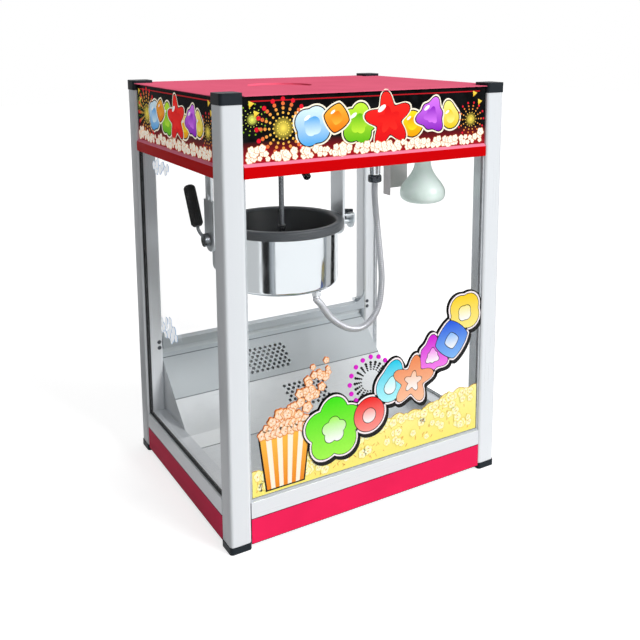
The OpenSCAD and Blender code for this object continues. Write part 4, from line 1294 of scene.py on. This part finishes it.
def corn_drift(style, rng, half, foot, lift):
    """A drift of corn along the foot of the front glass, higher towards the right."""
    yellow, gold = colour("#FFFBA0"), colour("#FDEE78")
    orange, brown = colour("#E89038"), colour("#C08030")
    size = style.puff_size

    def drift(u):
        share = (u + half) / (2 * half)
        return foot + style.drift * (0.42 + 0.58 * share ** 1.1) + 4 * math.sin(u / 23)

    sheet = Print(lift)
    crest = [-half + 2 * half * k / 160 for k in range(161)]
    for layer, rise, low_ink, high_ink in ((0, 1.2, brown, brown), (1, 0.0, gold, yellow)):
        sheet.shape([(-half, foot), (half, foot)] + [
            (u, drift(u) + 7 * abs(math.sin(u / 11.3)) + rise) for u in crest[::-1]],
            low_ink, high_ink, layer)
    # Short strokes for the gaps between kernels, then kernels on the crest and below it
    for _ in range(110):
        u = (rng.random() * 2 - 1) * (half - 8)
        v = foot + 6 + (drift(u) - foot - 16) * rng.random()
        sheet.shape(ellipse((u, v), 2.2 + 2.6 * rng.random(), 0.8, 30 + 110 * rng.random(), 8),
                    blended(orange, gold, 0.5 * rng.random()), layer=3)
    spots, sizes = [], []
    for k in range(60):
        u = -half + size + (2 * half - 2 * size) * (k + 0.7 * rng.random()) / 60
        spots.append((u, drift(u) - 2 - 6 * rng.random()))
        sizes.append(size * (0.8 + 0.7 * rng.random()))
    for _ in range(60):
        u = (rng.random() * 2 - 1) * (half - 14)
        spots.append((u, foot + 12 + (drift(u) - foot - 26) * rng.random()))
        sizes.append(size * (0.9 + 0.6 * rng.random()))
    pale = (yellow, colour("#F9DE6C"), colour("#E8A040"))
    return [sheet.finished(), puffs(spots, sizes, style.seed, pale, lift + 0.08)]


def tub(x, y, width, height, lift):
    """A tub with flared sides and upright stripes, width being half its mouth."""
    sheet = Print(lift)
    narrow = width * 0.74
    stripes = 9
    for layer, grow, ink in ((0, 2.6, BLACK), (1, 0.0, CREAM)):
        sheet.shape([(x - narrow - grow, y - grow), (x + narrow + grow, y - grow),
                     (x + width + grow, y + height + grow),
                     (x - width - grow, y + height + grow)], ink, layer=layer)
    for k in range(0, stripes, 2):
        a, b = -1 + 2 * k / stripes, -1 + 2 * (k + 1) / stripes
        sheet.shape([(x + a * narrow, y), (x + b * narrow, y),
                     (x + b * width, y + height), (x + a * width, y + height)],
                    colour("#F08A1E"), colour("#FFC24A"), 2)
    return sheet.finished()


def garland(border, lift):
    """Overlapping motifs with a core each, in one pale and black outline with its shadow."""
    sheet = Print(lift)
    for layer, ink, width, (across, up) in (
            (0, BLACK, border, (3.5, -5.5)), (1, BLACK, border, (0, 0)),
            (2, colour("#FFF4F6"), border - 2.4, (0, 0))):
        for kind, u, v, reach, lean, _, _ in GLASS_MOTIFS:
            sheet.shape(motif(kind, (u + across, v + up), reach, lean, width), ink, layer=layer)
    for k, (kind, u, v, reach, lean, foot_ink, top_ink) in enumerate(GLASS_MOTIFS):
        # Neighbours overlap, so they take turns on two sets of layers
        layer = 3 + 4 * (k % 2)
        low, high = colour(foot_ink), colour(top_ink)
        core, core_reach = (u, v - 2), reach * 0.42
        sheet.shape(motif(kind, (u, v), reach, lean, 1.4), BLACK, layer=layer)
        sheet.shape(motif(kind, (u, v), reach, lean), low, high, layer + 1)
        sheet.shape(motif(kind, core, core_reach, lean, 1.3), BLACK, layer=layer + 2)
        sheet.shape(motif(kind, core, core_reach, lean), WHITE, low, layer + 3)
    return sheet.finished()


def heap(style, rng, x, mouth, width, lift):
    """Corn heaped on the mouth of the tub, and thrown up from it to the right."""
    size = style.puff_size
    spots, sizes = [], []
    for row, count in enumerate((9, 8, 6, 3)):
        for k in range(count):
            u = x + (k - (count - 1) / 2) * 2 * width / 9 + 3 * rng.random()
            spots.append((u, mouth + 3 + 10 * row + 3 * rng.random()))
            sizes.append(size * (1.15 + 0.3 * rng.random()))
    for k in range(26):
        t = k / 25
        spots.append((x + 14 + 62 * t ** 0.7 + (22 + 20 * t) * (rng.random() - 0.5),
                      mouth + 34 + 66 * t + 26 * (rng.random() - 0.5)))
        sizes.append(size * (1.25 - 0.5 * t) * (0.8 + 0.4 * rng.random()))
    peach = (colour("#FFD09A"), colour("#E8843C"), colour("#E07830"))
    return puffs(spots, sizes, style.seed + 3, peach, lift)


def frost(style, rng, lift):
    """Two pale sprays of kernels for the left pane."""
    spots, sizes = [], []
    # Kernels follow each other by the golden angle, which spreads them evenly
    golden_angle = 2.4
    for u, v, count, wide, tall in ((-58, 297, 14, 42, 22), (-72, 600, 9, 44, 9)):
        for k in range(count):
            reach, turn = math.sqrt((k + 0.5) / count), golden_angle * k
            spots.append((u + wide * reach * math.cos(turn), v + tall * reach * math.sin(turn)))
            sizes.append(style.puff_size * (0.9 + 0.5 * rng.random()))
    faint = (colour("#F2F6FA"), colour("#A8B8CC"), colour("#C0CCDC"))
    return puffs(spots, sizes, style.seed + 9, faint, lift)


class SIGN_OT_glass_prints(bpy.types.Operator):
    """Drift of popped corn, tub, garland of motifs and dot burst printed on the front glass"""
    bl_idname = "popcorn_maker.glass_prints"
    bl_label = "Glass Prints"

    def execute(self, context):
        style = context.scene.print_style
        rng = random.Random(style.seed)
        low, high = box("glass_front")
        half, foot = high.x - 3, low.z + 3
        # The ink stands off the glass, and its mirrored other side lies just under it
        lift, mirror_lift = 0.3, 0.2
        # The tub and the bursts lie over the drift, and the garland over them
        over, upper = lift + 1.0, lift + 2.0
        x, y, width, height = -176, foot + 7, 46, 92
        meshes = corn_drift(style, rng, half, foot, lift)
        meshes += [tub(x, y, width, height, over), garland(style.border, upper),
                   heap(style, rng, x, y + height, width, over + 0.08)]
        for rays, rings, inner, step, dot, ink in ((20, 4, 20.0, 4.2, 1.3, BLACK),
                                                   (16, 1, 43.0, 1.0, 4.2, colour("#E018D0"))):
            meshes.append(burst((-6, 238), over, Rays=rays, Rings=rings, Inner=inner, Step=step,
                                Dot=dot, Growth=0.25, Inside=ink, Outside=ink))
        pasted("glass_print_front", meshes, "front", -low.y, "print", mirror_lift)
        # The left pane's print glows with painted light
        pasted("glass_print_left", [frost(style, rng, lift)], "left", -box("glass_left")[0].x,
               "glowing_frost_print", mirror_lift)
        return {"FINISHED"}


# ---- kettle ----


def shell_profile(r, foot, top):
    """A sheet shell with a stepped base, a rounded foot and a rolled edge."""
    bend = 9.0
    return ([(0, foot), (60, foot), (62, foot + 0.8), (r - bend - 6, foot + 0.8),
             (r - bend - 4, foot)]
            + arc((r - bend, foot + bend), bend, -90, 0, 10)
            + [(r, top - 3), (r - 0.3, top - 1), (r - 1.5, top), (r - 1.8, top - 2),
               (r - 1.8, foot + bend), (r - bend - 1, foot + 2), (0, foot + 2)])


def bowl_profile(r, rim, foot, top, brim, inner):
    """A pot that stands in the shell and flares over its edge."""
    bend, floor = 8, foot + 2
    return ([(0, foot), (r - 3, foot), (r - 2, foot + 1), (r - 2, top),
             (rim - 10, top + 0.2), (rim - 10, brim - 1), (inner + 1.2, brim - 3.6),
             (inner + 0.2, brim - 6), (inner, floor + bend)]
            + arc((inner - bend, floor + bend), bend, 0, -90, 6) + [(0, floor)])


def bead_profile(r, rim, top, brim, inner):
    """The thick rim of the pot, rounded outside, which hangs 5 mm over the shell."""
    hem, bend = top - 5.0, 3.4
    return ([(r + 0.3, hem), (rim - 4, hem)]
            + arc((rim - bend, hem + bend), bend, -90, 0, 5)
            + arc((rim - bend, brim - bend), bend, 0, 90, 6)
            + [(rim - 8, brim - 0.2), (rim - 12, brim - 0.6), (inner + 1.6, brim - 2.4),
               (inner + 0.9, brim - 4), (r - 0.5, brim - 4), (r - 0.5, top + 0.1),
               (r + 0.3, top + 0.1), (r + 0.3, hem)])


def ribbed_grip(lean):
    """The handle's grip, ribbed along its length. It leans to the rear by an angle in degrees."""
    low, high = box("handle_grip")
    way = Vector((0, math.sin(math.radians(lean)), math.cos(math.radians(lean))))
    length = (high.z - low.z - (high.x - low.x) * way.y) / way.z
    start = (low + high) / 2 - way * length / 2
    radius, bend, straight = 10.8, 7.6, length - 14
    profile = [(3.2, 0.6), (7.6, 0.4), (8.6, 1.2), (9.4, 3.0), (radius, 5.0)]
    profile += [(radius, 5 + (straight - 5) * k / 24) for k in range(1, 25)]
    profile += arc((radius - bend, straight + 2), bend, 12, 90, 6) + [(0, straight + 9.6)]
    return turned(profile, start, way, 96, 16, 1.1, (5.5, straight - 0.5))


class KETTLE_OT_kettle(bpy.types.Operator):
    """Polished shell, coated pot with its thick rim, heater, trunnions and tilting handle"""
    bl_idname = "popcorn_maker.kettle"
    bl_label = "Kettle"

    def execute(self, context):
        low, high = box("kettle_shell")
        x, r, top = (low.x + high.x) / 2, (high.x - low.x) / 2, high.z
        pot_low, pot_high = box("kettle_pot")
        rim, brim, inner = (pot_high.x - pot_low.x) / 2, pot_high.z, r - 4.0
        bowl = bowl_profile(r, rim, pot_low.z, top, brim, inner)
        for name, profile, finish, slot, node, sharp in (
                ("kettle_body", shell_profile(r, low.z, top), "mirror", "polished_steel",
                 "kettle_shell", 40),
                ("kettle_bowl", bowl, "coating", "non_stick", "kettle_pot", 50),
                ("kettle_rim", bead_profile(r, rim, top, brim, inner), "rim", "non_stick",
                 "kettle_pot", 50)):
            new_piece(name, turned(profile, (x, 0, 0), steps=128), "kettle", finish, node,
                      sharp=sharp)
        edged("heating_plate", "coating", body="kettle")
        edged("kettle_trunnions", "plate", 0.6, body="kettle")
        edged("handle_rod", "rod", 0.3, body="kettle")
        new_piece("grip", ribbed_grip(29), "kettle", "grip", "handle_grip",
                  sharp=60)
        return {"FINISHED"}


class KETTLE_OT_hanger_arms(bpy.types.Operator):
    """The two arms that carry the kettle, with the latch on the right one"""
    bl_idname = "popcorn_maker.hanger_arms"
    bl_label = "Hanger Arms"

    def execute(self, context):
        edged("hanger_arm_left", "plate", 0.9)
        edged("hanger_arm_right", "plate", 0.9)
        edged("kettle_latch", "black", 0.9, body="latch")
        return {"FINISHED"}


class KETTLE_OT_drive(bpy.types.Operator):
    """Stirrer, coupler, gearmotor and its bracket"""
    bl_idname = "popcorn_maker.drive"
    bl_label = "Drive"

    def execute(self, context):
        edged("stirrer", "rod", 0.5, body="stirrer")
        edged("drive_coupler", "plate", 0.6, body="coupler")
        edged("gearmotor", "motor", 1.2)
        edged("motor_bracket", "plate", 0.4)
        return {"FINISHED"}


class LAMP_OT_lamp(bpy.types.Operator):
    """Frosted reflector bulb in a porcelain holder, behind its steel shield"""
    bl_idname = "popcorn_maker.lamp"
    bl_label = "Lamp"

    def execute(self, context):
        low, high = box("lamp_bulb")
        x, y = (low.x + high.x) / 2, (low.y + high.y) / 2
        r, z, h = (high.x - low.x) / 2, low.z, high.z - low.z
        # The bulb's outline, in shares of its radius and height from its face up to its neck
        shape = [(0, 0.0), (0.35, 0.006), (0.62, 0.028), (0.82, 0.068), (0.94, 0.125),
                 (0.99, 0.19), (1.0, 0.25), (0.985, 0.31), (0.93, 0.385), (0.83, 0.47),
                 (0.70, 0.56), (0.57, 0.65), (0.47, 0.735), (0.405, 0.81), (0.365, 0.89),
                 (0.345, 0.96), (0.34, 1.0)]
        fine = smooth_route([(a * r, b * h, 0) for a, b in shape], 60)
        profile = [(max(p.x, 0.0), min(max(p.y, 0.0), h)) for p in fine] + [(0, h)]
        profile[0] = (0, 0)
        bulb = turned(profile, (x, y, z), steps=96)
        new_piece("reflector_bulb", bulb, "cabinet", "bulb", "lamp_bulb", sharp=70)
        low, high = box("lamp_holder")
        r, h = (high.x - low.x) / 2, high.z - low.z
        holder = turned([(0, 0), (r * 0.66, 0), (r * 0.74, 1.5), (r * 0.78, 5), (r * 0.82, h - 7),
                         (r * 0.94, h - 5.5), (r, h - 4), (r, h - 0.8), (r - 0.8, h), (0, h)],
                        (x, y, low.z), steps=72)
        new_piece("lamp_holder_turned", holder, "cabinet", "porcelain", "lamp_holder")
        edged("lamp_shield", "shield", 0.4)
        return {"FINISHED"}


# ---- controls and fastenings ----


class CONTROL_OT_switches(bpy.types.Operator):
    """Rockers with line and circle marks, bezels, release lever and cord inlet bush"""
    bl_idname = "popcorn_maker.switches"
    bl_label = "Switches"

    def execute(self, context):
        edged("switch_bezels", "black", 0.8)
        edged("cord_inlet", "black", 0.6)
        edged("release_lever", "grip", 0.7, body="lever")
        for switch, body in (("heat_switch", "heat_rocker"), ("stir_switch", "stir_rocker"),
                             ("lamp_switch", "lamp_rocker")):
            edged(switch, "black", 0.6, body=body)
            # The two broad faces of a rocker: a line on the upper one, a circle on the lower one
            form = copy_of(switch)
            broad = sorted((f for f in form.faces if f.normal.y > 0.7),
                           key=lambda f: f.calc_area())[-2:]
            places = sorted(((f.calc_center_median(), f.normal.copy()) for f in broad),
                            key=lambda place: place[0].z)
            form.free()
            (low_at, low_way), (high_at, high_way) = places
            stand = high_way.to_track_quat("Z", "Y").to_matrix().to_4x4()
            stand.translation = high_at
            line = extruded([(-0.7, -3.0), (0.7, -3.0), (0.7, 3.0), (-0.7, 3.0)], 0.2, stand)
            ring = turned([(2.3, 0), (3.2, 0), (3.2, 0.2), (2.3, 0.2), (2.3, 0)], low_at,
                          low_way, steps=32)
            new_piece(f"{switch}_marks", joined(line, ring), body, "mark",
                      sharp=30)
        return {"FINISHED"}


def pan_head():
    """A cross-recessed pan head, one unit in radius, that stands on z = 0."""
    form = turned([(0.96, 0.0), (1.0, 0.06), (1.0, 0.14), (0.92, 0.3), (0.76, 0.42), (0.6, 0.48)],
                  steps=20)
    form.edges.ensure_lookup_table()
    rim = [edge for edge in form.edges
           if edge.is_boundary and all(v.co.z > 0.4 for v in edge.verts)]
    arm, bar = 0.42, 0.1
    cross = [(arm, -bar), (arm, bar), (bar, bar), (bar, arm), (-bar, arm), (-bar, bar),
             (-arm, bar), (-arm, -bar), (-bar, -bar), (-bar, -arm), (bar, -arm), (bar, -bar)]
    top = [form.verts.new((x, y, 0.5)) for x, y in cross]
    deep = [form.verts.new((x * 0.8, y * 0.8, 0.22)) for x, y in cross]
    ring = [form.edges.new((corner, top[(k + 1) % len(top)])) for k, corner in enumerate(top)]
    bmesh.ops.triangle_fill(form, use_beauty=True, edges=rim + ring)
    strip(form, top, deep)
    form.faces.new(deep)
    # The fill also spans the cross, whose recess stays open
    for face in [f for f in form.faces if len(f.verts) == 3 and all(v in top for v in f.verts)]:
        form.faces.remove(face)
    foot = [edge for edge in form.edges if edge.is_boundary and all(
        v.co.z < 0.01 for v in edge.verts)]
    bmesh.ops.contextual_create(form, geom=foot)
    return mesh_of(outward(form), "pan_head")


def hexagon_head():
    """A washer-faced hexagon head, one unit in radius, that stands on z = 0."""
    washer = turned([(0, 0), (1.0, 0), (1.0, 0.12), (0.9, 0.18), (0, 0.18)], steps=24)
    head = extruded(hexagon(0.84), 0.34, Matrix.Translation((0, 0, 0.16)))
    return mesh_of(joined(washer, head), "hexagon_head")


class FASTENER_OT_screws(bpy.types.Operator):
    """Cross-recessed screws on posts and control panel, hexagon heads on the hanger arms"""
    bl_idname = "popcorn_maker.screws"
    bl_label = "Screws"

    def execute(self, context):
        pans, bolts = [], []
        for low, high in islands("frame_screws"):
            centre, size = (low + high) / 2, high - low
            thin = min(range(3), key=lambda i: size[i])
            if thin == 2:
                bolts.append(((centre.x, centre.y, high.z), (0, 0, -1), max(size) / 2))
            elif centre.y < 200:
                pans.append(((centre.x, high.y, centre.z), (0, -1, 0), max(size) / 2))
            else:
                pans.append(((centre.x, low.y, centre.z), (0, 1, 0), max(size) / 2))
        for name, group, shape, finish in (("pan_head_screws", pans, pan_head(), "screw"),
                                           ("hexagon_bolts", bolts, hexagon_head(), "zinc")):
            mesh = standing(shape, [g[0] for g in group], [g[1] for g in group],
                            [g[2] for g in group], finish, math.pi, 4)
            new_piece(name, mesh, "cabinet", finish, "frame_screws", sharp=30)
        return {"FINISHED"}


# ---- panel, registration and the run itself ----

STYLES = (("cabinet_style", CabinetStyle), ("print_style", PrintStyle), ("hose_style", HoseStyle),
          ("studio_style", StudioStyle))
STEPS = (STAGE_OT_studio, HOSE_OT_power_hose, CABINET_OT_frame, CABINET_OT_painted_panels,
         CABINET_OT_steelwork, CABINET_OT_glazing, SIGN_OT_header_signs, SIGN_OT_glass_prints,
         KETTLE_OT_kettle, KETTLE_OT_hanger_arms, KETTLE_OT_drive, LAMP_OT_lamp,
         CONTROL_OT_switches, FASTENER_OT_screws)


class VIEW3D_PT_popcorn_maker(bpy.types.Panel):
    """Lists the popcorn maker's sizes, colours and building steps"""
    bl_idname = "VIEW3D_PT_popcorn_maker"
    bl_label = "Popcorn Maker"
    bl_space_type = "VIEW_3D"
    bl_region_type = "UI"
    bl_category = "Popcorn Maker"

    def draw(self, context):
        for name, group in STYLES:
            column = self.layout.column(align=True)
            for setting in group.__annotations__:
                column.prop(getattr(context.scene, name), setting)
        for step in STEPS:
            self.layout.operator(step.bl_idname)


def register():
    for name, group in STYLES:
        bpy.utils.register_class(group)
        setattr(bpy.types.Scene, name, bpy.props.PointerProperty(type=group))
    for step in STEPS:
        bpy.utils.register_class(step)
    bpy.utils.register_class(VIEW3D_PT_popcorn_maker)


def unregister():
    bpy.utils.unregister_class(VIEW3D_PT_popcorn_maker)
    for step in reversed(STEPS):
        bpy.utils.unregister_class(step)
    for name, group in reversed(STYLES):
        delattr(bpy.types.Scene, name)
        bpy.utils.unregister_class(group)


def main():
    register()
    make_finishes(bpy.context.scene.cabinet_style)
    for step in STEPS:
        family, action = step.bl_idname.split(".")
        getattr(getattr(bpy.ops, family), action)()


if __name__ == "__main__":
    main()
